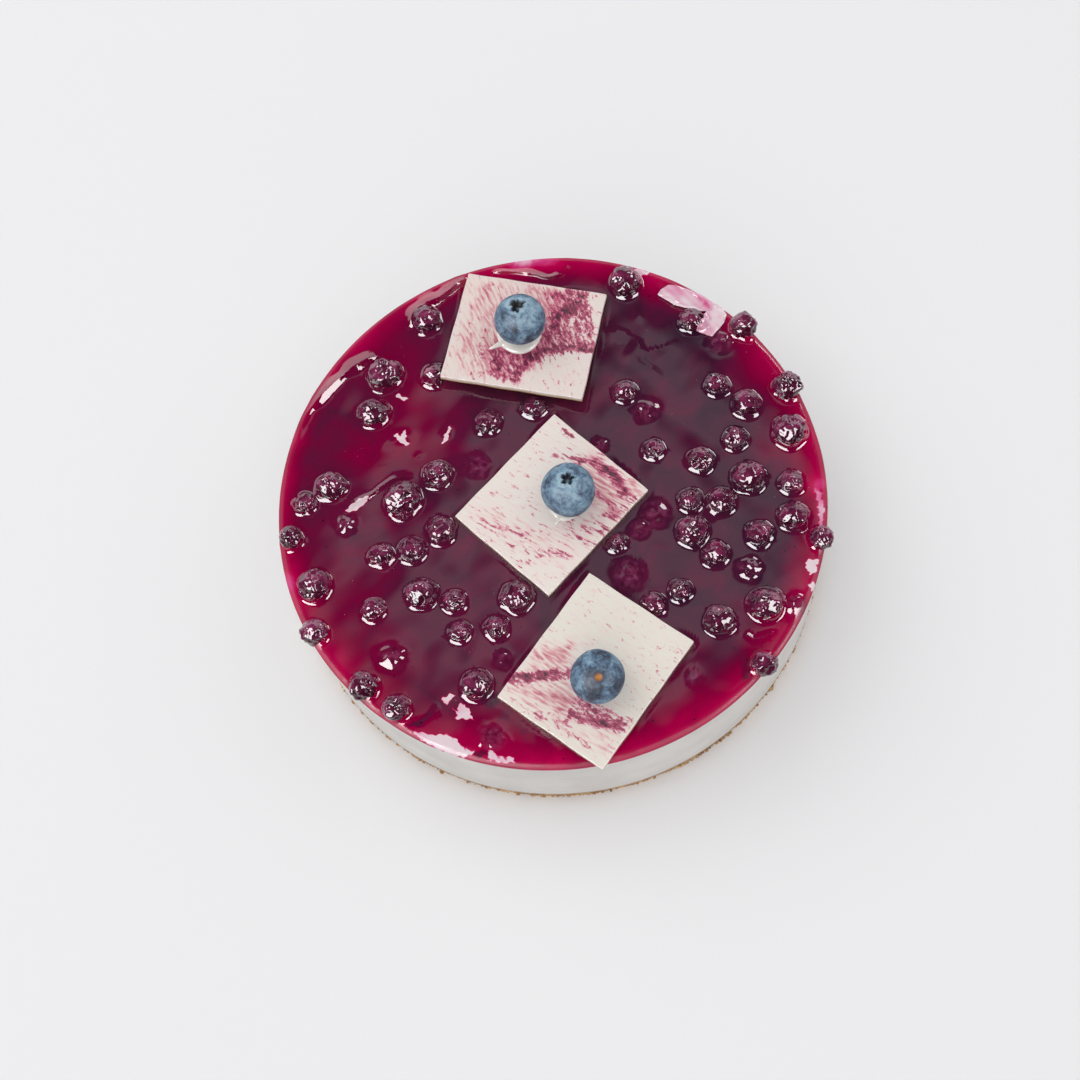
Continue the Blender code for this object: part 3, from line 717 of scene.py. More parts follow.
def patches_at(x, y, patches):
    return sum(amount * bell(np.hypot(x / MM - px, y / MM - py) / size) for px, py, size, amount in patches)


def patch(u, v, corners, soft, amount):
    """A patch inside an outline, fading over a soft distance at its edge."""
    outline = np.array([*corners, corners[0]], dtype=float)
    away, _, _ = nearest_on(u, v, outline)
    inside = np.zeros(u.shape, dtype=bool)
    for (ax, ay), (bx, by) in zip(outline, outline[1:]):
        crosses = (ay > v) != (by > v)
        inside ^= crosses & (u < ax + (bx - ax) * (v - ay) / ((by - ay) or 1e-9))
    return amount * smooth_step(np.where(inside, away, -away), -soft / 2, soft / 2)


def thinness_and_glints(x, y):
    """From 0, deep, to 1, thin enough to show the cream's light, and above 1 where a pale reflection is
    painted.
    """
    # The glow begins further out at the upper left, where the jelly is thicker
    start = RIM_GLOW_START + 7 * MM * bell(np.degrees(apart(np.arctan2(y, x), math.radians(155))) / 35)
    rim = smooth_step(np.hypot(x, y), start, CAKE_RADIUS)
    covered = [(bx, by, 0.45 * width, 0.14) for bx, by, width, _ in COVERED]
    deep = (1 - 0.9 * rim) * (1 - np.clip(patches_at(x, y, THIN_PATCHES + covered), 0, 0.9))
    thin_and_glint = 1 - deep * (0.83 + 1.2 * x) + patches_at(x, y, GLINT_PATCHES)
    ragged_x = x / MM + 0.25 * np.sin(y / MM / 0.5) + 0.15 * np.sin(y / MM / 0.23)
    ragged_y = y / MM + 0.25 * np.sin(x / MM / 0.45 + 1)
    # Painted reflections of the windows, and darker patches where the amount is below 0
    for glint, corners in GLINT_AND_DARK_SHAPES:
        share = patch(ragged_x, ragged_y, corners, 0.5, 1.0)
        thin_and_glint = thin_and_glint * (1 - share) + (1 + glint) * share
    return thin_and_glint


# %% [markdown]
# A mirror-like surface shows every flaw in its mesh, so it is an even grid, pressed from a square to a disc,
# and cut finer wherever the surface bends within one cell. Its rim is then drawn out and down in rings.

# %% Jelly grid
GLAZE_CELLS = 150
# For each round of cutting: how far, in radians, millimetres and thinness with its painted reflections, a
# cell's corners may differ
CELL_LIMITS = [(0.27, 0.5, 0.3), (0.6, 0.7, 0.4), (1.1, 0.7, 0.5)]

bpy.ops.mesh.primitive_grid_add(x_subdivisions=GLAZE_CELLS, y_subdivisions=GLAZE_CELLS, size=2)
glaze = new_piece("jelly_glaze")
a, b = points_of(glaze)[:, :2].T
wide = np.abs(a) > np.abs(b)
reach = np.where(wide, a, b)
with np.errstate(divide="ignore", invalid="ignore"):
    turn = np.nan_to_num(np.where(wide, math.pi / 4 * b / a, math.pi / 2 - math.pi / 4 * a / b))
move_points(glaze, np.stack([reach * np.cos(turn), reach * np.sin(turn), 0 * turn], 1) * GLAZE_RADIUS)

for bend, step, change in CELL_LIMITS:
    x, y = points_of(glaze)[:, :2].T
    normals, heights, thins_and_glints = jelly_normals(x, y), jelly_height(x, y), thinness_and_glints(x, y)
    bends = np.zeros(len(glaze.data.polygons), dtype=bool)
    for number, face in enumerate(glaze.data.polygons):
        corners = list(face.vertices)
        around = normals[corners]
        bends[number] = (
            (around @ around.T).min() < math.cos(bend)
            or np.ptp(heights[corners]) > step * MM
            or np.ptp(thins_and_glints[corners]) > change
        )
    edit("DESELECT")
    bpy.ops.mesh.select_mode(type="FACE")
    bpy.ops.object.mode_set(mode="OBJECT")
    glaze.data.polygons.foreach_set("select", bends)
    bpy.ops.object.mode_set(mode="EDIT")
    bpy.ops.mesh.subdivide(number_cuts=1)
    bpy.ops.object.mode_set(mode="OBJECT")
    print("cells cut finer:", int(bends.sum()), "cells now:", len(glaze.data.polygons))

# %% Jelly surface and rim
# Rings past the surface's edge, from there down and under: radius, and the step down, in mm
RIM_RINGS = [(99.75, 0.25), (100.02, 0.4), (100.06, 0.45), (99.9, 0.4), (99.4, 0.35), (97.0, 0.25)]

x, y = points_of(glaze)[:, :2].T
surface_normals = jelly_normals(x, y)
rim_wobble = 1 + wobble(np.arctan2(y, x), 0.0, 6, 0.0012) * (np.hypot(x, y) / GLAZE_RADIUS) ** 16
move_points(glaze, np.column_stack([x * rim_wobble, y * rim_wobble, jelly_height(x, y)]))

edit("DESELECT")
bpy.ops.mesh.select_mode(type="EDGE")
bpy.ops.mesh.select_non_manifold()
last_radius = GLAZE_RADIUS / MM
for ring_radius, step in RIM_RINGS:
    bpy.ops.mesh.extrude_edges_move(TRANSFORM_OT_translate={"value": (0, 0, -step * MM)})
    scale = ring_radius / last_radius
    bpy.ops.transform.resize(value=(scale, scale, 1), center_override=(0, 0, 0))
    last_radius = ring_radius
bpy.ops.mesh.edge_face_add()
leave_edit()
bpy.ops.object.shade_smooth()

# On steep little slopes the mesh alone would blur the reflections, so each point gets its exact direction.
normals = np.empty((len(glaze.data.vertices), 3), dtype=np.float32)
glaze.data.vertex_normals.foreach_get("vector", normals.ravel())
inner = np.hypot(x, y) < GLAZE_RADIUS - 0.6 * MM
normals[: len(x)][inner] = surface_normals[inner]
glaze.data.normals_split_custom_set_from_vertices([tuple(n) for n in normals])
points = points_of(glaze)
edge = smooth_step(round_axis(points)[1], GLAZE_RADIUS - 1.8 * MM, GLAZE_RADIUS - 0.5 * MM)
edge[len(x) :] = 1
x, y = points[:, :2].T
for name, values in (("thin_and_glint", thinness_and_glints(x, y)), ("edge", edge), ("flesh", flesh_share(x, y))):
    paint(glaze, name, values)
glaze.data.calc_loop_triangles()
print("jelly:", len(glaze.data.loop_triangles), "triangles")

# %% [markdown]
# Set fruit jelly has a wet, even gloss and a deep colour, with berry dust floating in it and darker patches.

# %% Jelly finish
def fruit_jelly():
    finish, tree, shader, place = new_finish("set_berry_jelly", 0.05, 1.42, coat=1.0, coat_roughness=0.015)
    thin_and_glint, near_flesh, edge = (
        add(tree, "Attribute", attribute_name=name).outputs["Fac"] for name in ("thin_and_glint", "flesh", "edge")
    )
    pour = {"Vector": place, "Scale": 1 / (15 * MM), "Detail": 5.0, "Roughness": 0.55, "Distortion": 0.8}
    cloud = add(tree, "TexNoise", pour)
    limits = {"Value": cloud, "From Min": 0.25, "From Max": 0.75, "To Min": -0.1, "To Max": 0.1}
    drift = add(tree, "MapRange", limits)
    depth = add(tree, "Math", {0: thin_and_glint, 1: 0.75, 2: drift}, operation="MULTIPLY_ADD")
    # The palest stops are reached only where a reflection of a window is painted
    stops = [(0.0, "38142d"), (0.09, "4a1833"), (0.19, "611438"), (0.37, "7b0437"), (0.53, "92023c")]
    stops += [(0.64, "a60142"), (0.77, "bf044d"), (0.86, "d63c80"), (0.93, "e5a2bd"), (1.0, "ecd6dc")]
    body = add(tree, "ValToRGB", {"Fac": depth}, stops)
    # Where a berry lies just under the surface, its mottled flesh shows
    mottle = add(tree, "TexNoise", {"Vector": place, "Scale": 1 / (2.4 * MM), "Detail": 3.0})
    flesh = add(tree, "ValToRGB", {"Fac": mottle}, [(0.34, "480f2a"), (0.5, "662244"), (0.66, "8a4064")])
    fleshed = coat_over(tree, body, flesh, near_flesh, most=0.65)
    speck = add(tree, "TexVoronoi", {"Vector": place, "Scale": 1 / (3.6 * MM)})
    scatter = add(tree, "SeparateColor", {"Color": speck.outputs["Color"]}).outputs["Red"]
    size = add(tree, "MapRange", {"Value": scatter, "From Min": 0.5, "To Min": 0.001, "To Max": 0.13})
    dot = add(tree, "Math", {0: speck, 1: size}, operation="LESS_THAN")
    dusted = coat_over(tree, fleshed, "2a0c20", dot, most=0.8)
    fill(tree, shader, {"Base Color": dusted})
    # The rim, where the cake ring was drawn off, is duller
    for name, wet, dull in (("Roughness", 0.05, 0.55), ("Coat Weight", 1.0, 0.05)):
        fill(tree, shader, {name: add(tree, "MapRange", {"Value": edge, "To Min": wet, "To Max": dull})})
    return finish


jelly = fruit_jelly()
hand_over(glaze, jelly, "berry_glaze")

# %% [markdown]
# Where the jelly was touched while it set, a skin of it tore and folded back. Its pale colour is a painted
# reflection of a window.

# %% Flaps of torn jelly
# How pale its painted reflection is, the lift of its free edge, and the outline, in mm
FLAPS = {
    "jelly_flap_long": (0.28, 0.9, [
        (53.2, 73.8), (55, 75.8), (58, 77.3), (61, 76.6), (66, 74), (69, 72), (71, 70), (73.5, 67),
        (76, 64.8), (71, 63.6), (67.5, 64), (65, 64.8), (62.5, 66.2), (58.5, 68.2), (56.5, 70.5),
    ]),
    "jelly_flap_short": (0.33, 0.6, [
        (76.2, 65), (70.5, 64.2), (68, 61.5), (66.6, 58), (64.6, 55.6), (67, 54.3), (70, 52.4), (72, 54),
        (75.6, 57.6), (77.4, 61),
    ]),
}


def jelly_flap(name, glint, lift, outline):
    """A thin skin with an outline that all of its middle's rays cross once, lying on the jelly."""
    bpy.ops.mesh.primitive_uv_sphere_add(segments=144, ring_count=40, radius=1.0)
    flap = new_piece(name)
    ball = points_of(flap)
    corners = np.array(outline + outline[:1])
    middle = corners[:-1].mean(axis=0)
    steps = np.linspace(0, len(outline), 20 * len(outline), endpoint=False)
    edge = np.stack([np.interp(steps, range(len(corners)), corners[:, axis]) for axis in (0, 1)], 1) - middle
    turn, out = round_axis(ball)
    edge_turn, edge_out = round_axis(edge)
    order = np.argsort(edge_turn)
    reach = out * np.interp(turn, edge_turn[order], edge_out[order], period=FULL_TURN)
    u, v = middle[0] + reach * np.cos(turn), middle[1] + reach * np.sin(turn)
    curl = lift * out**4 * (0.5 + 0.5 * np.cos(turn - math.radians(215)))
    ripple = 0.12 * np.sin(u * 0.9 + v * 0.5) * np.sin(v * 0.8)
    thick = 0.25 * np.sign(ball[:, 2]) * np.abs(ball[:, 2]) ** 0.4
    height = jelly_height(u * MM, v * MM) + (0.35 + curl + ripple + thick) * MM
    move_points(flap, np.column_stack([u * MM, v * MM, height]))
    bpy.ops.object.shade_smooth()
    # Its pale colour is a painted reflection of a window
    paint(flap, "thin_and_glint", 1 + glint + 0.02 * np.sin(u * 0.7) + 0.02 * np.sin(u * 1.7 + v * 1.1))
    hand_over(flap, jelly, "berry_glaze")


for name, row in FLAPS.items():
    jelly_flap(name, *row)
print("flaps:", len(FLAPS))

# %% [markdown]
# Stirring and pouring leave tiny bubbles of air at the surface. Each shows as a bright point with a dark rim.

# %% Bubbles
BUBBLES = 110
bpy.ops.mesh.primitive_ico_sphere_add(subdivisions=2, radius=1.0)
mould = new_piece("bubble")
rng = random.Random(44)
bubbles = []
while len(bubbles) < BUBBLES:
    out = 97 * MM * math.sqrt(rng.random())
    turn = rng.uniform(0, FULL_TURN)
    x, y = np.array([out * math.cos(turn)]), np.array([out * math.sin(turn)])
    size = rng.uniform(0.15, 0.5) ** 1.6 * 0.9 * MM
    clear = all(np.hypot((x - middle.x) / half.x, (y - middle.y) / half.y) > 1.2 for _, middle, half in sunk)
    if clear and outside_plaques(x, y) >= 0.5:
        bubble = copy_of(mould)
        bubble.location = (x[0], y[0], jelly_height(x, y)[0] - 0.1 * size)
        bubble.scale = (size, size, 0.8 * size)
        bubbles.append(bubble)
bpy.data.objects.remove(mould)
join_up(bubbles)
bubbles = new_piece("jelly_bubbles")
settle(bubbles)
bpy.ops.object.shade_smooth()
paint(bubbles, "thin_and_glint", thinness_and_glints(*points_of(bubbles)[:, :2].T))
hand_over(bubbles, jelly, "berry_glaze")
print("bubbles:", BUBBLES)

# %% [markdown]
# ## The stewed berries
# Stewed blueberries are soft, dented and wrinkled, each wet with jelly. Six are modelled from a ball: noise
# dents it at three sizes, and a crown is pressed in at one end. Every berry in the cake is a copy of one of
# them, turned, and stretched to the size of the solid that it replaces.

# %% Six stewed berries
STEWED_KINDS = 6
SHIFT = 7.0


def stewed_mould(number):
    bpy.ops.mesh.primitive_ico_sphere_add(subdivisions=5, radius=1.0)
    mould = new_piece(f"stewed_mould_{number}")
    roughen(mould, 0.75, 0.44, SHIFT * (number + 1))
    points = points_of(mould)
    polar = np.arccos(np.clip(points[:, 2] / np.linalg.norm(points, axis=1), -1, 1))
    rim = 0.3 + 0.05 * np.cos(5 * round_axis(points)[0] + number)
    crown = 0.1 * bell((polar - rim) / 0.09) - 0.2 * bell(polar / 0.2, 4)
    move_points(mould, points * (1 + crown)[:, None])
    roughen(mould, 0.36, 0.21, SHIFT * (number + 2))
    roughen(mould, 0.2, 0.05, SHIFT * (number + 3))
    move_points(mould, centred(points_of(mould)))
    thin_out = mould.modifiers.new("thin_out", "DECIMATE")
    thin_out.ratio = 0.45
    bpy.ops.object.modifier_apply(modifier="thin_out")
    bpy.ops.object.shade_smooth()
    return mould


moulds = [stewed_mould(number) for number in range(STEWED_KINDS)]
print("a stewed berry has", len(moulds[0].data.polygons), "faces")

# %% [markdown]
# A stewed skin is nearly black plum, ruby where the flesh shows through, and wet, so it has a clear coat.
# It carries painted shade in its creases, and a painted shade on its near side.

# %% Stewed berry finish
def stewed_skin():
    finish, tree, shader, place = new_finish("stewed_blueberry_skin", 0.1, 1.42, coat=1.0, coat_roughness=0.02)
    ruby = add(tree, "TexNoise", {"Vector": place, "Scale": 1 / (5 * MM), "Detail": 3.0})
    crease = add(tree, "TexVoronoi", {"Vector": place, "Scale": 1 / (2.2 * MM)}, feature="SMOOTH_F1")
    stops = [(0.32, "4c1430"), (0.46, "682042"), (0.58, "802c54"), (0.74, "9a4266")]
    body = add(tree, "ValToRGB", {"Fac": ruby}, stops)
    # Painted shade darkens the creases
    crease_shaded = coat_over(tree, body, "2a0a1a", crease, 0.45, 0.85, 0.4)
    facing = add(tree, "TexCoord").outputs["Normal"]
    front = add(tree, "SeparateXYZ", {"Vector": facing}).outputs["Y"]
    # Painted shade darkens the side that faces the front
    near_side_shaded = coat_over(tree, crease_shaded, "38061c", front, -0.2, -0.75, 0.8)
    bump = add(tree, "Bump", {"Height": crease, "Strength": 0.22, "Distance": 0.3 * MM}, invert=True)
    fill(tree, shader, {"Base Color": near_side_shaded, "Normal": bump, "Coat Normal": bump})
    return finish


# %% Put the berries in their places
rng = random.Random(31)
stewed = stewed_skin()
for number, (name, middle, half) in enumerate(sunk):
    berry = copy_of(moulds[number % STEWED_KINDS])
    berry.name = f"stewed_berry_{number + 1:02d}"
    berry.data.name = berry.name
    swing = Quaternion((0, 0, 1), rng.uniform(0, FULL_TURN))
    tip = Quaternion((1, 0, 0), rng.choice([rng.uniform(-0.7, 0.7), rng.uniform(1.2, 2.6)]))
    move_points(berry, fitted(points_of(berry) @ np.array((swing @ tip).to_matrix()).T, middle, half))
    hand_over(berry, stewed, name)
for mould in moulds:
    bpy.data.objects.remove(mould)
print("stewed berries placed:", len(sunk))

# %% [markdown]
# ## The white chocolate plaques
# Each plaque is tempered white chocolate, spread thin on a printed sheet and cut. Its top has a marbling of
# berry red. The top is a fine grid, so that the marbling's patches can be painted on its points.

# %% Plaque shape
PLAQUE_BEVEL = 0.3 * MM


def plaque_frame(plaque):
    """A plaque's own axes along its length, width and thickness, from the middle of its underside."""
    turn = Matrix.Rotation(math.radians(plaque["turn"]), 4, "Z")
    tilt = Matrix.Rotation(-math.asin(plaque["lift"] / plaque["width"]), 4, "X")
    rise = GLAZE_LEVEL + PLAQUE_GAP + plaque["lift"] / 2 * MM
    return Matrix.Translation((plaque["x"] * MM, plaque["y"] * MM, rise)) @ turn @ tilt


def plaque_blank(name, plaque):
    """A plaque in its own frame, its top face cut into a grid."""
    bpy.ops.mesh.primitive_grid_add(x_subdivisions=108, y_subdivisions=92, size=1)
    blank = new_piece(name)
    blank.scale = (plaque["length"] * MM, plaque["width"] * MM, 1)
    settle(blank)
    edit()
    bpy.ops.mesh.extrude_region_move(TRANSFORM_OT_translate={"value": (0, 0, PLAQUE_THICKNESS)})
    leave_edit()
    edit("DESELECT")
    bpy.ops.mesh.select_mode(type="EDGE")
    bpy.ops.mesh.edges_select_sharp(sharpness=math.radians(60))
    bpy.ops.mesh.bevel(offset=PLAQUE_BEVEL, segments=2)
    bpy.ops.object.mode_set(mode="OBJECT")
    bpy.ops.object.shade_smooth_by_angle(angle=math.radians(50))
    return blank


# %% [markdown]
# The marbling is three coats: a pale blush, a crimson sponging and its dark bruises. Each is a few strokes,
# curves with a width, and patches, outlines with a soft or a crisp edge, in the plaque's own millimetres.

# %% Strokes and patches
def stroke(u, v, corners, width, amount):
    """A brush stroke along a curve: full in the middle and fading to nothing at its width."""
    best, _, _ = nearest_on(u, v, curve_through(corners) / MM)
    return amount * (1 - smooth_step(best, 0.25 * width, width))


# The way the sheet was wiped, how much streak and mottle its colour has, and the ground's colour
MARBLING = [
    {"streak": (0.545, -0.839), "grain": (0.5, 2.6), "ivory": "ece0d8"},
    {"streak": (0.17, -0.985), "grain": (0.9, 1.9), "ivory": "efe6dd"},
    {"streak": (0.02, -1.0), "grain": (0.4, 2.4), "ivory": "ece7da"},
]
# For each coat of each plaque: the points of a stroke or patch, its width or softness, and its amount
MARBLING[0]["blush"] = [
    (patch, [(-26, 20), (-12, 23), (14, 23), (12, -4), (2, -22), (-24, -22)], 8, 0.62),
    (patch, [(-4, 22), (18, 23), (22, 8), (26, 0), (12, -8), (2, -20), (-12, -20), (-12, -4), (4, 4)],
     5, 0.35),
    (patch, [(5, -12), (24, -8), (26, -22), (4, -22)], 5, 0.12),
    (stroke, [(-20, 20), (-15, 8), (-9, -10)], 7, 0.12),
]
MARBLING[0]["sponge"] = [
    (patch, [(11, 23), (20, 24), (22, 18), (24, 10), (27, 4), (27.5, -3), (21, -4), (16, -5.6), (12, -7),
             (9, -9), (6, -10.5), (4, -14), (1, -22), (-3, -22), (-9, -19), (-10, -13), (-12, -7), (-4, -6),
             (6, -2), (7, 8), (12, 14)], 1.8, 0.42),
    (patch, [(8, 24), (19, 24), (24, 6), (27, -4), (12, -7), (0, -22), (-10, -19), (-7, -4), (8, 4)],
     7, 0.34),
    (patch, [(-2, 21), (12, 22), (14, 12), (7, 8), (4, 14)], 6, 0.42),
    (patch, [(-15, 0), (-11, -4), (-9, -20), (-16, -22)], 6, 0.4),
    (stroke, [(18, 8), (21, 3)], 3.5, -0.16),
]
MARBLING[0]["bruise"] = [
    (stroke, [(27, -1.5), (22, -2), (15, -3.5), (10, -5.5), (6.5, -8.5), (3, -13), (1, -19)], 2.6, 0.8),
    (stroke, [(19, 22), (17, 16), (12, 11), (10, 6)], 3.6, 0.75),
    (stroke, [(22, 14), (24, 6)], 2.5, 0.6),
    (stroke, [(-8, -11), (-6, -17)], 3.0, 0.5),
    (stroke, [(-3, -8), (5, -8)], 2.2, 0.6),
]
MARBLING[1]["blush"] = [
    (patch, [(-26, 20), (-18, 20), (-8, -4), (4, -8), (26, 6), (26, -23), (-18, -22)], 9, 0.5),
    (patch, [(15, 6), (27, 4), (27, -23), (8, -23)], 7, 0.4),
]
MARBLING[1]["sponge"] = [
    (stroke, [(-22, 16), (-21, 6), (-22, -2)], 2.6, 0.3),
    (stroke, [(-19, 9), (-17, 2), (-15, -4)], 2.2, 0.36),
    (stroke, [(-19, -6), (-17, -11), (-13, -14), (-12, -18)], 2.4, 0.5),
    (stroke, [(-14, 3), (-12, -2), (-10, -5)], 1.6, 0.32),
    (stroke, [(-25, -7), (-22, -9)], 2.2, 0.34),
    (stroke, [(-3, -14), (-3, -20), (-1.5, -23)], 1.8, 0.5),
    (stroke, [(-1, -9), (1, -16), (3, -22)], 1.8, 0.48),
    (stroke, [(5, -18), (6, -23)], 1.8, 0.55),
    (stroke, [(8, -16), (11, -21), (12, -24)], 2.2, 0.5),
    (stroke, [(14, -10), (13.5, -17), (16, -22)], 2.0, 0.55),
    (stroke, [(15, 12), (18, 6), (20, 2)], 1.8, 0.4),
    (stroke, [(15, 5), (19, 3), (21, -2), (22.5, -8), (21, -14), (20, -21)], 3.4, 0.5),
    (stroke, [(25.5, 0), (22, -4), (24, -12), (18, -19)], 3.0, 0.36),
    (stroke, [(24, 16), (24.6, 12)], 1.6, 0.7),
]
MARBLING[1]["bruise"] = [
    (stroke, [(20.5, -1), (22.5, -8), (23, -13)], 2.0, 0.45),
    (stroke, [(25, -5), (21, -12), (18.5, -16), (20.5, -21)], 2.0, 0.6),
    (stroke, [(24, 15), (24.6, 12)], 1.0, 0.6),
]
MARBLING[2]["blush"] = [
    (patch, [(-27, 22), (-4, 22), (2, 12), (-6, 4), (-8, -22), (-24, -22)], 7, 0.5),
    (patch, [(-21, 19), (-13, 6), (-12, -2), (-20, -2)], 5, 0.45),
    (patch, [(-11, 22), (-2, 20), (3, 12), (-6, 6)], 6, 0.4),
    (stroke, [(4, 12), (7, 8)], 4, 0.28),
    (stroke, [(6, -6), (7, -16)], 4, 0.12),
]
MARBLING[2]["sponge"] = [
    (stroke, [(-20, 23), (-16, 17), (-11, 12), (-7, 7), (-5, 5)], 3.4, 0.78),
    (patch, [(-21, -2), (-17.5, -1), (-11, 0), (-10, -8), (-8.5, -14), (-7, -22), (-11, -22), (-14, -20),
             (-17, -14), (-17, -9), (-19, -5)], 2.4, 0.62),
    (stroke, [(-26, 11), (-24, 3), (-24, -5), (-24, -14)], 1.6, 0.4),
    (stroke, [(-24, 8), (-21, 0)], 1.4, 0.35),
]
MARBLING[2]["bruise"] = [
    (stroke, [(-18.5, 21), (-15, 17), (-11, 12.5)], 2.0, 0.85),
    (stroke, [(-20.5, -3.5), (-18, -3), (-16.5, -9), (-15, -12), (-13, -16), (-11, -18.5)], 2.2, 0.85),
    (stroke, [(-13.5, -6), (-12, -9)], 1.6, 0.5),
]


# %% [markdown]
# White chocolate is ivory, satin and a little waxy. The sponging shows as a ragged net about a millimetre
# across, pulled along the way the sheet was wiped, so its noise is stretched that way on each plaque.

# %% Plaque finish
def marbled_chocolate(number, plaque, marbling):
    finish, tree, shader, place = new_finish(f"marbled_white_chocolate_{number}", 0.32, 1.46, coat=0.25)
    along, across = marbling["streak"]
    heading = math.radians(plaque["turn"]) + math.atan2(across, along)
    streak_share, mottle_share = marbling["grain"]
    blush, sponge, side = (
        add(tree, "Attribute", attribute_name=name).outputs["Fac"] for name in ("blush", "sponge", "side")
    )
    noises = []
    for pull, grain, detail, rough in ((5.0, 1.05 * MM, 5.0, 0.5), (1.6, 1.5 * MM, 6.0, 0.72)):
        along_wipe = {"Vector": place, "Rotation": (0, 0, heading), "Scale": (pull, 1.0, 1.0)}
        wiped = add(tree, "Mapping", along_wipe, vector_type="TEXTURE")
        noise = {"Vector": wiped, "Scale": 1 / grain, "Detail": detail, "Roughness": rough, "Distortion": 0.5}
        noises.append(add(tree, "TexNoise", noise))
    hairs, mottle = noises
    # Each noise, taken from its middle, is scaled and added to the amount of colour painted there
    streaked = add(tree, "Math", {0: hairs, 1: 1.7, 2: -0.85}, operation="MULTIPLY_ADD")
    mottled = add(tree, "Math", {0: mottle, 1: mottle_share, 2: -mottle_share / 2}, operation="MULTIPLY_ADD")
    both = add(tree, "Math", {0: streaked, 1: streak_share, 2: mottled}, operation="MULTIPLY_ADD")
    thin_coat = add(tree, "Math", {0: streaked, 1: blush}, operation="ADD")
    thick_coat = add(tree, "Math", {0: both, 1: sponge}, operation="ADD")
    stops = [(0.3, "f0dad4"), (0.5, "ebc8c4"), (0.66, "de9aa0"), (0.85, "c8647a"), (1.0, "b04460")]
    pink = add(tree, "ValToRGB", {"Fac": thin_coat}, stops)
    blushed = coat_over(tree, marbling["ivory"], pink, thin_coat, -0.1, 0.55, 0.9)
    stops = [(0.26, "e6a6b4"), (0.44, "cb6080"), (0.6, "a83860"), (0.76, "7c2648"), (0.94, "441c34")]
    crimson = add(tree, "ValToRGB", {"Fac": thick_coat}, stops)
    sponged = coat_over(tree, blushed, crimson, thick_coat, 0.2, 0.42, 0.95)
    # The cut sides carry painted shade, golden and darker towards the bottom
    shaded_cut_side = add(tree, "ValToRGB", {"Fac": side}, [(0.0, "eadfc8"), (0.6, "d2b27c"), (1.0, "b8935f")])
    whole = coat_over(tree, sponged, shaded_cut_side, side)
    base = add(tree, "TexNoise", {"Vector": place, "Scale": 1 / (9 * MM), "Detail": 2.0})
    bump = add(tree, "Bump", {"Height": base, "Strength": 0.2, "Distance": 0.3 * MM})
    fill(tree, shader, {"Base Color": whole, "Normal": bump})
    return finish


# %% Make the plaques
def coat_amount(u, v, coats):
    total = np.zeros_like(u)
    for brush, *row in coats:
        total += brush(u, v, *row)
    return np.clip(total, 0, 1)


for number, name in enumerate(("plaque_far", "plaque_middle", "plaque_near")):
    plaque, marbling = PLAQUES[number], MARBLING[number]
    piece = plaque_blank(name, plaque)
    points = points_of(piece)
    u, v = points[:, :2].T / MM
    top = smooth_step(points[:, 2], PLAQUE_THICKNESS - 2 * PLAQUE_BEVEL, PLAQUE_THICKNESS - PLAQUE_BEVEL)
    blush, sponge, bruise = (coat_amount(u, v, marbling[coat]) * top for coat in ("blush", "sponge", "bruise"))
    paint(piece, "blush", 0.72 * blush)
    paint(piece, "sponge", 0.66 * sponge + 0.22 * bruise)
    # Where the cut sides get their painted shade
    paint(piece, "side", 1 - top)
    rng = random.Random(50 + number)
    warp = sum(
        np.sin(u / rng.uniform(5, 12) + rng.uniform(0, 6)) * np.sin(v / rng.uniform(5, 12) + rng.uniform(0, 6))
        for _ in range(4)
    )
    points[:, 2] += 0.05 * MM * warp * (points[:, 2] > PLAQUE_THICKNESS / 2)
    points[:, 0] += 0.08 * MM * np.sin(v / 3.1 + number)
    points[:, 1] += 0.08 * MM * np.sin(u / 2.7 + number)
    matrix = np.array(plaque_frame(plaque))
    move_points(piece, points @ matrix[:3, :3].T + matrix[:3, 3])
    finish = marbled_chocolate(number + 1, plaque, marbling)
    hand_over(piece, finish, f"plaque_{number + 1}")
    print(name, len(piece.data.polygons), "faces")

# %% [markdown]
# A dab of melted white chocolate holds each of the two berries whose crowns are up. It is a low dome with one
# thin tail, pulled as the piping bag was lifted away.

# %% Dabs of chocolate
# The plaque, the dab's place, radius, height and tail in mm, and the way the tail points, in degrees
DABS = [
    ("chocolate_dab", 0, (-0.8, 65.2), 8.3, 1.9, 5.4, 200),
    ("small_chocolate_dab", 1, (4.6, -5.5), 5.4, 1.0, 2.6, 235),
]


def over_plaque(plaque, x, y):
    """The point of a plaque's top face over a place in the plane, and the way that the face looks."""
    matrix = plaque_frame(plaque)
    normal = matrix.to_3x3() @ Vector((0, 0, 1))
    top = matrix @ Vector((0, 0, PLAQUE_THICKNESS))
    return Vector((x, y, top.z - (normal.x * (x - top.x) + normal.y * (y - top.y)) / normal.z)), normal


def chocolate_dab(name, number, place, radius, height, tail, heading):
    bpy.ops.mesh.primitive_uv_sphere_add(segments=96, ring_count=28, radius=1.0)
    dab = new_piece(name)
    points = points_of(dab)
    angle, _ = round_axis(points)
    grow = radius * (1 + 0.02 * np.sin(3 * angle)) + tail * bell(apart(angle, math.radians(heading)) / 0.07)
    points[:, :2] *= grow[:, None] * MM
    dome = np.sign(points[:, 2]) * np.abs(points[:, 2]) ** 0.8
    points[:, 2] = np.where(dome > 0, dome * height, dome * 0.2) * MM
    seat, normal = over_plaque(PLAQUES[number], place[0] * MM, place[1] * MM)
    lean = np.array(Vector((0, 0, 1)).rotation_difference(normal).to_matrix())
    move_points(dab, points @ lean.T + np.array(seat))
    bpy.ops.object.shade_smooth()
    return dab


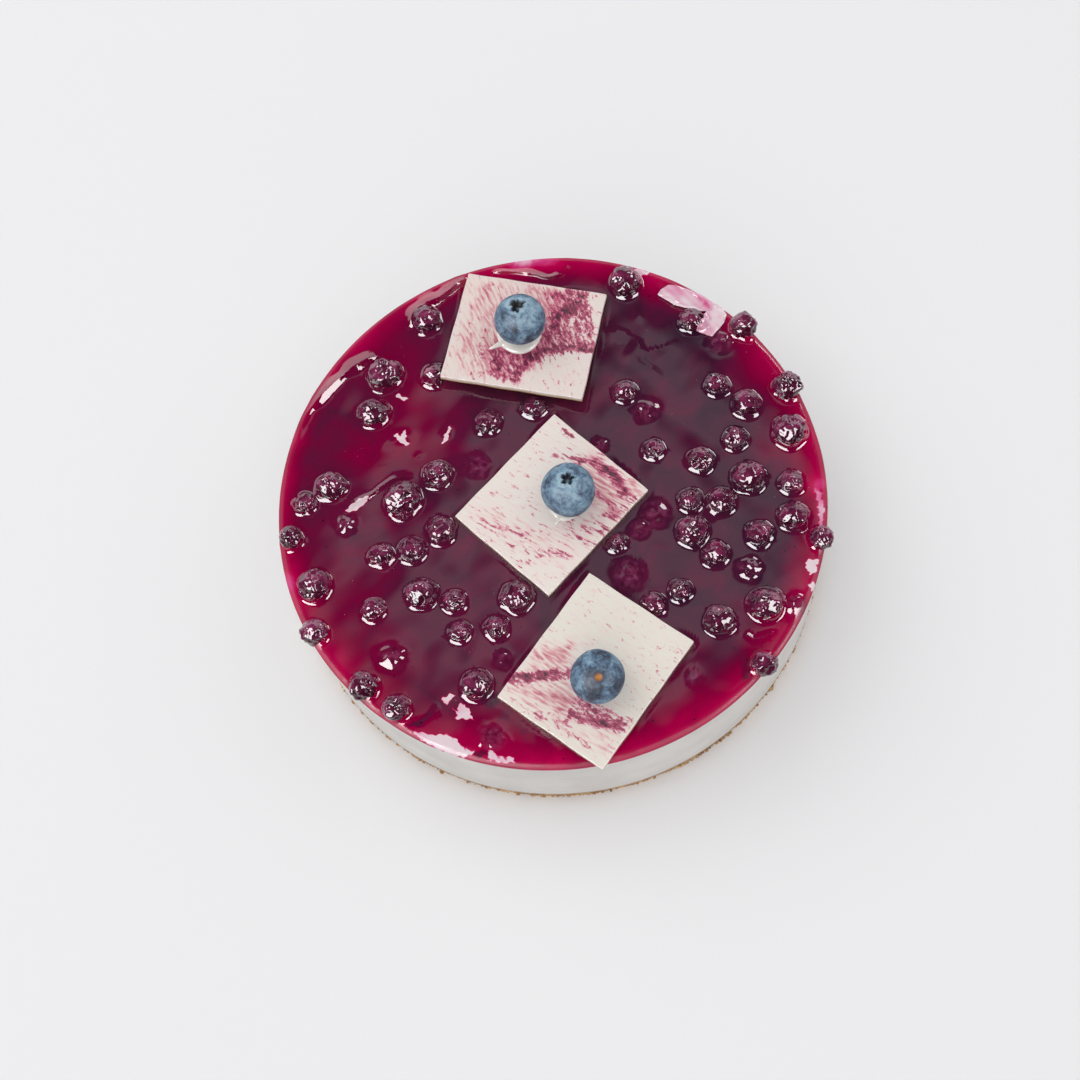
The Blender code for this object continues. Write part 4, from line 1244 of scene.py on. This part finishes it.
def plain_chocolate():
    finish, tree, shader, place = new_finish("melted_white_chocolate", 0.3, 1.46, coat=0.3)
    cloud = add(tree, "TexNoise", {"Vector": place, "Scale": 1 / (6 * MM), "Detail": 2.0})
    body = add(tree, "ValToRGB", {"Fac": cloud}, [(0.3, "f4eee4"), (0.7, "faf5ec")])
    fill(tree, shader, {"Base Color": body})
    return finish


melted = plain_chocolate()
for row in DABS:
    hand_over(chocolate_dab(*row), melted, f"plaque_{row[1] + 1}")
print("dabs:", len(DABS))

# %% [markdown]
# ## The fresh blueberries
# A fresh blueberry is a firm, slightly flattened ball. One end has the crown, five little flaps round a pit,
# and the other a round scar where the stem was. A dusty wax bloom turns the navy skin pale blue, and it is
# rubbed off in patches.

# %% Fresh berry shape
# The way each crown points, and the place and size of the pale spot in it, on a unit ball. The near berry
# lies with its crown down, and shows its stem scar.
FRESH = {
    "fresh_berry_far": ((-0.03, 0.14, 0.99), (0.08, -0.09, 0.1)),
    "fresh_berry_middle": ((0.02, 0.03, 1.0), (0.02, -0.02, 0.12)),
    "fresh_berry_near": ((-0.02, 0.28, -0.96), (0.0, 0.0, 0.1)),
}


def crown_opening(number, angle):
    """How far the dark opening reaches from the crown's middle, in radians, by the angle round it."""
    if number == 1:
        lobes = 0.5 + 0.5 * np.cos(5 * angle + 0.7 * np.sin(angle) + 0.3 * np.sin(2 * angle))
        return 0.16 + 0.1 * lobes + 0.02 * np.sin(9 * angle + 1)
    return 0.26 + 0.05 * np.sin(3 * angle + 1) + 0.035 * np.sin(7 * angle) + 0.02 * np.sin(11 * angle)


def crown_profile(polar, opening):
    """What the crown and the scar add to a unit ball, by the angle from the crown."""
    tail = math.pi - polar
    crown = 0.07 * bell((polar - opening - 0.05) / 0.05) + 0.02 * bell((polar - 0.5) / 0.14)
    pit = 0.2 * (1 - smooth_step(polar, opening - 0.1, opening + 0.03))
    scar = 0.02 * bell((tail - 0.17) / 0.04) - 0.07 * bell(tail / 0.12, 4)
    return crown - pit + scar - 0.012 * bell((tail - 0.27) / 0.06)


def fresh_berry(number, name, heading, pale_spot):
    bpy.ops.mesh.primitive_uv_sphere_add(segments=180, ring_count=140, radius=1.0)
    berry = new_piece(name)
    points = points_of(berry)
    polar = np.arccos(np.clip(points[:, 2], -1, 1))
    angle, _ = round_axis(points)
    rng = random.Random(70 + number)
    opening = crown_opening(number, angle)
    swell = crown_profile(polar, opening)
    for waves_round in (2, 3, 4):
        swell += 0.006 * np.cos(waves_round * angle + rng.uniform(0, 6)) * np.sin(polar) ** 2
    pale_x, pale_y, pale_size = pale_spot
    pale = 0.6 * bell(np.hypot(points[:, 0] - pale_x, points[:, 1] - pale_y) / pale_size)
    paint(berry, "crown", polar)
    paint(berry, "pit", (1 - smooth_step(polar, opening - 0.03, opening + 0.02)) * (1 - pale))
    # Wax bloom round the crown, and a painted light that pales the crown end
    paint(berry, "bloom_and_light", 0.22 * bell((polar - opening - 0.1) / 0.07) + 0.07 * np.cos(polar))
    move_points(berry, points * (1 + swell)[:, None])
    roughen(berry, 0.5, 0.03, SHIFT * number)
    low, high = (np.array(corner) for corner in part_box(f"fresh_blueberry_{number + 1}"))
    turn = Vector((0, 0, 1)).rotation_difference(Vector(heading).normalized())
    points = points_of(berry) @ np.array(turn.to_matrix()).T
    move_points(berry, fitted(points, (high + low) / 2, (high - low) / 2))
    bpy.ops.object.shade_smooth()
    return berry


# %% Fresh berry finish
def blueberry_bloom(number):
    """Waxy bloom over navy skin, with a painted light that pales the crown end. The crown attribute is the
    angle from the crown, in radians.
    """
    finish, tree, shader, place = new_finish(f"blueberry_bloom_{number}", 0.55, 1.45)
    place = add(tree, "Mapping", {"Vector": place, "Location": (number * 0.37, number * 0.21, 0)})
    crown, pit, bloom_and_light_amount = (
        add(tree, "Attribute", attribute_name=name).outputs["Fac"] for name in ("crown", "pit", "bloom_and_light")
    )
    wear = {"Vector": place, "Scale": 1 / (5.5 * MM), "Detail": 5.0, "Roughness": 0.62, "Distortion": 0.4}
    rubbed = add(tree, "TexNoise", wear)
    fine = add(tree, "TexNoise", {"Vector": place, "Scale": 1 / (1.3 * MM), "Detail": 4.0, "Roughness": 0.65})
    mixed = add(tree, "Math", {0: fine, 1: 0.5, 2: rubbed}, operation="MULTIPLY_ADD")
    bloomed_and_lit = add(tree, "Math", {0: mixed, 1: bloom_and_light_amount}, operation="ADD")
    stops = [(0.5, "1f2738"), (0.62, "36465c"), (0.73, "55708a"), (0.85, "7a9ab0"), (1.0, "9dbac8")]
    body = add(tree, "ValToRGB", {"Fac": bloomed_and_lit}, stops)
    pitted = coat_over(tree, body, "16131a", pit)
    ringed = coat_over(tree, pitted, "4a3f4c", crown, math.pi - 0.26, math.pi - 0.2, 0.8)
    scarred = coat_over(tree, ringed, "b8741c", crown, math.pi - 0.15, math.pi - 0.11)
    bump = add(tree, "Bump", {"Height": mixed, "Strength": 0.18, "Distance": 0.2 * MM})
    fill(tree, shader, {"Base Color": scarred, "Normal": bump})
    return finish


for number, (name, row) in enumerate(FRESH.items()):
    berry = fresh_berry(number, name, *row)
    hand_over(berry, blueberry_bloom(number + 1), f"fresh_blueberry_{number + 1}")
    print(berry.name, len(berry.data.polygons), "faces")

# %% [markdown]
# ## The studio
# The cake was lit by two windows, low in front to the left and to the right, which show as small bright
# patches on every wet slope. The far wall is pale and shows on the slopes that face away. The floor is plain.

# %% Floor
bpy.ops.mesh.primitive_plane_add(size=8.0, location=(0, 0, 0))
floor = new_piece("floor")
paper, tree, shader, place = new_finish("pale_paper", 0.9, 1.3)
fill(tree, shader, {"Base Color": "f1f1f1"})
floor.data.materials.append(paper)

# %% Lights
PANEL_DISTANCE = 2.5
# The way to each light, and its width and height, in degrees as the cake sees it, and its radiance. The soft
# lights only light the cake, and the windows only show in its gloss.
PANELS = {
    "soft_far_left": (140, 52, 50, 50, 1.2),
    "soft_right": (10, 50, 50, 50, 0.5),
    "soft_front": (-105, 40, 50, 50, 0.7),
    "window_left": (-144, 42, 42, 38, 12.0),
    "window_right": (-30, 40, 27, 27, 11.0),
    "window_far": (50, 41, 12, 14, 8.0),
}


def panel(name, azimuth, elevation, width, height, radiance):
    """A rectangle of even light."""
    turn, rise = math.radians(azimuth), math.radians(elevation)
    towards = Vector((math.cos(turn) * math.cos(rise), math.sin(turn) * math.cos(rise), math.sin(rise)))
    place = towards * PANEL_DISTANCE
    bpy.ops.object.light_add(type="AREA", location=place, rotation=place.to_track_quat("Z", "Y").to_euler())
    light = bpy.context.active_object
    light.name = name
    light.data.shape = "RECTANGLE"
    light.data.size = 2 * PANEL_DISTANCE * math.tan(math.radians(width / 2))
    light.data.size_y = 2 * PANEL_DISTANCE * math.tan(math.radians(height / 2))
    light.data.energy = radiance * math.pi * light.data.size * light.data.size_y
    light.visible_camera = False
    light.visible_glossy = name.startswith("window")
    light.visible_diffuse = name.startswith("soft")


for name, row in PANELS.items():
    panel(name, *row)


# %% The room
def room():
    """Even light for matt things. Gloss sees a dark room, its pale far wall and a dim patch of ceiling."""
    world = bpy.data.worlds.new("room")
    world.use_nodes = True
    tree = world.node_tree
    towards = add(tree, "TexCoord").outputs["Generated"]
    axes = add(tree, "SeparateXYZ", {"Vector": towards}).outputs
    stops = [(0.0, "ffffff"), (0.38, "ffffff"), (0.44, "000000")]
    wall_height = add(tree, "ValToRGB", {"Fac": axes["Z"]}, stops)
    wall_side = add(tree, "MapRange", {"Value": axes["Y"], "From Min": 0.4, "From Max": 0.5, "To Max": 1.5})
    wall = add(tree, "Math", {0: wall_height, 1: wall_side}, operation="MULTIPLY")
    middle = Vector((math.sin(math.radians(3)), math.sin(math.radians(23)), math.cos(math.radians(23))))
    # The ceiling's patch fades from its middle outwards, and at its near edge and its slanted left and right
    # edges: what each takes of X, Y and Z, and where it is nothing and full
    sides = [(middle.normalized(), math.cos(math.radians(21)), math.cos(math.radians(4)), 0.52, "SMOOTHSTEP")]
    sides += [((0, 1, 0), 0.19, 0.29, 1.0, "LINEAR")]
    sides += [((1, -1.2, 0), -0.61, -0.49, 1.0, "LINEAR"), ((1, 1, 0), 0.62, 0.5, 1.0, "LINEAR")]
    ceiling = 1.0
    for axis, outer, inner, most, fade in sides:
        way = add(tree, "VectorMath", {0: towards, 1: axis}, operation="DOT_PRODUCT")
        share = {"Value": way, "From Min": outer, "From Max": inner, "To Max": most}
        edge = add(tree, "MapRange", share, interpolation_type=fade)
        ceiling = add(tree, "Math", {0: ceiling, 1: edge}, operation="MULTIPLY")
    gloss = add(tree, "Math", {0: wall, 1: ceiling}, operation="ADD")
    ray = add(tree, "LightPath").outputs
    matt = add(tree, "MapRange", {"Value": ray["Is Camera Ray"], "To Min": 0.62, "To Max": 0.83})
    strength = add(tree, "MapRange", {"Value": ray["Is Glossy Ray"], "To Min": matt, "To Max": gloss})
    fill(tree, tree.nodes["Background"], {"Color": "f6f5f8", "Strength": strength})
    return world


bpy.context.scene.world = room()
bpy.context.scene.view_settings.view_transform = "Standard"
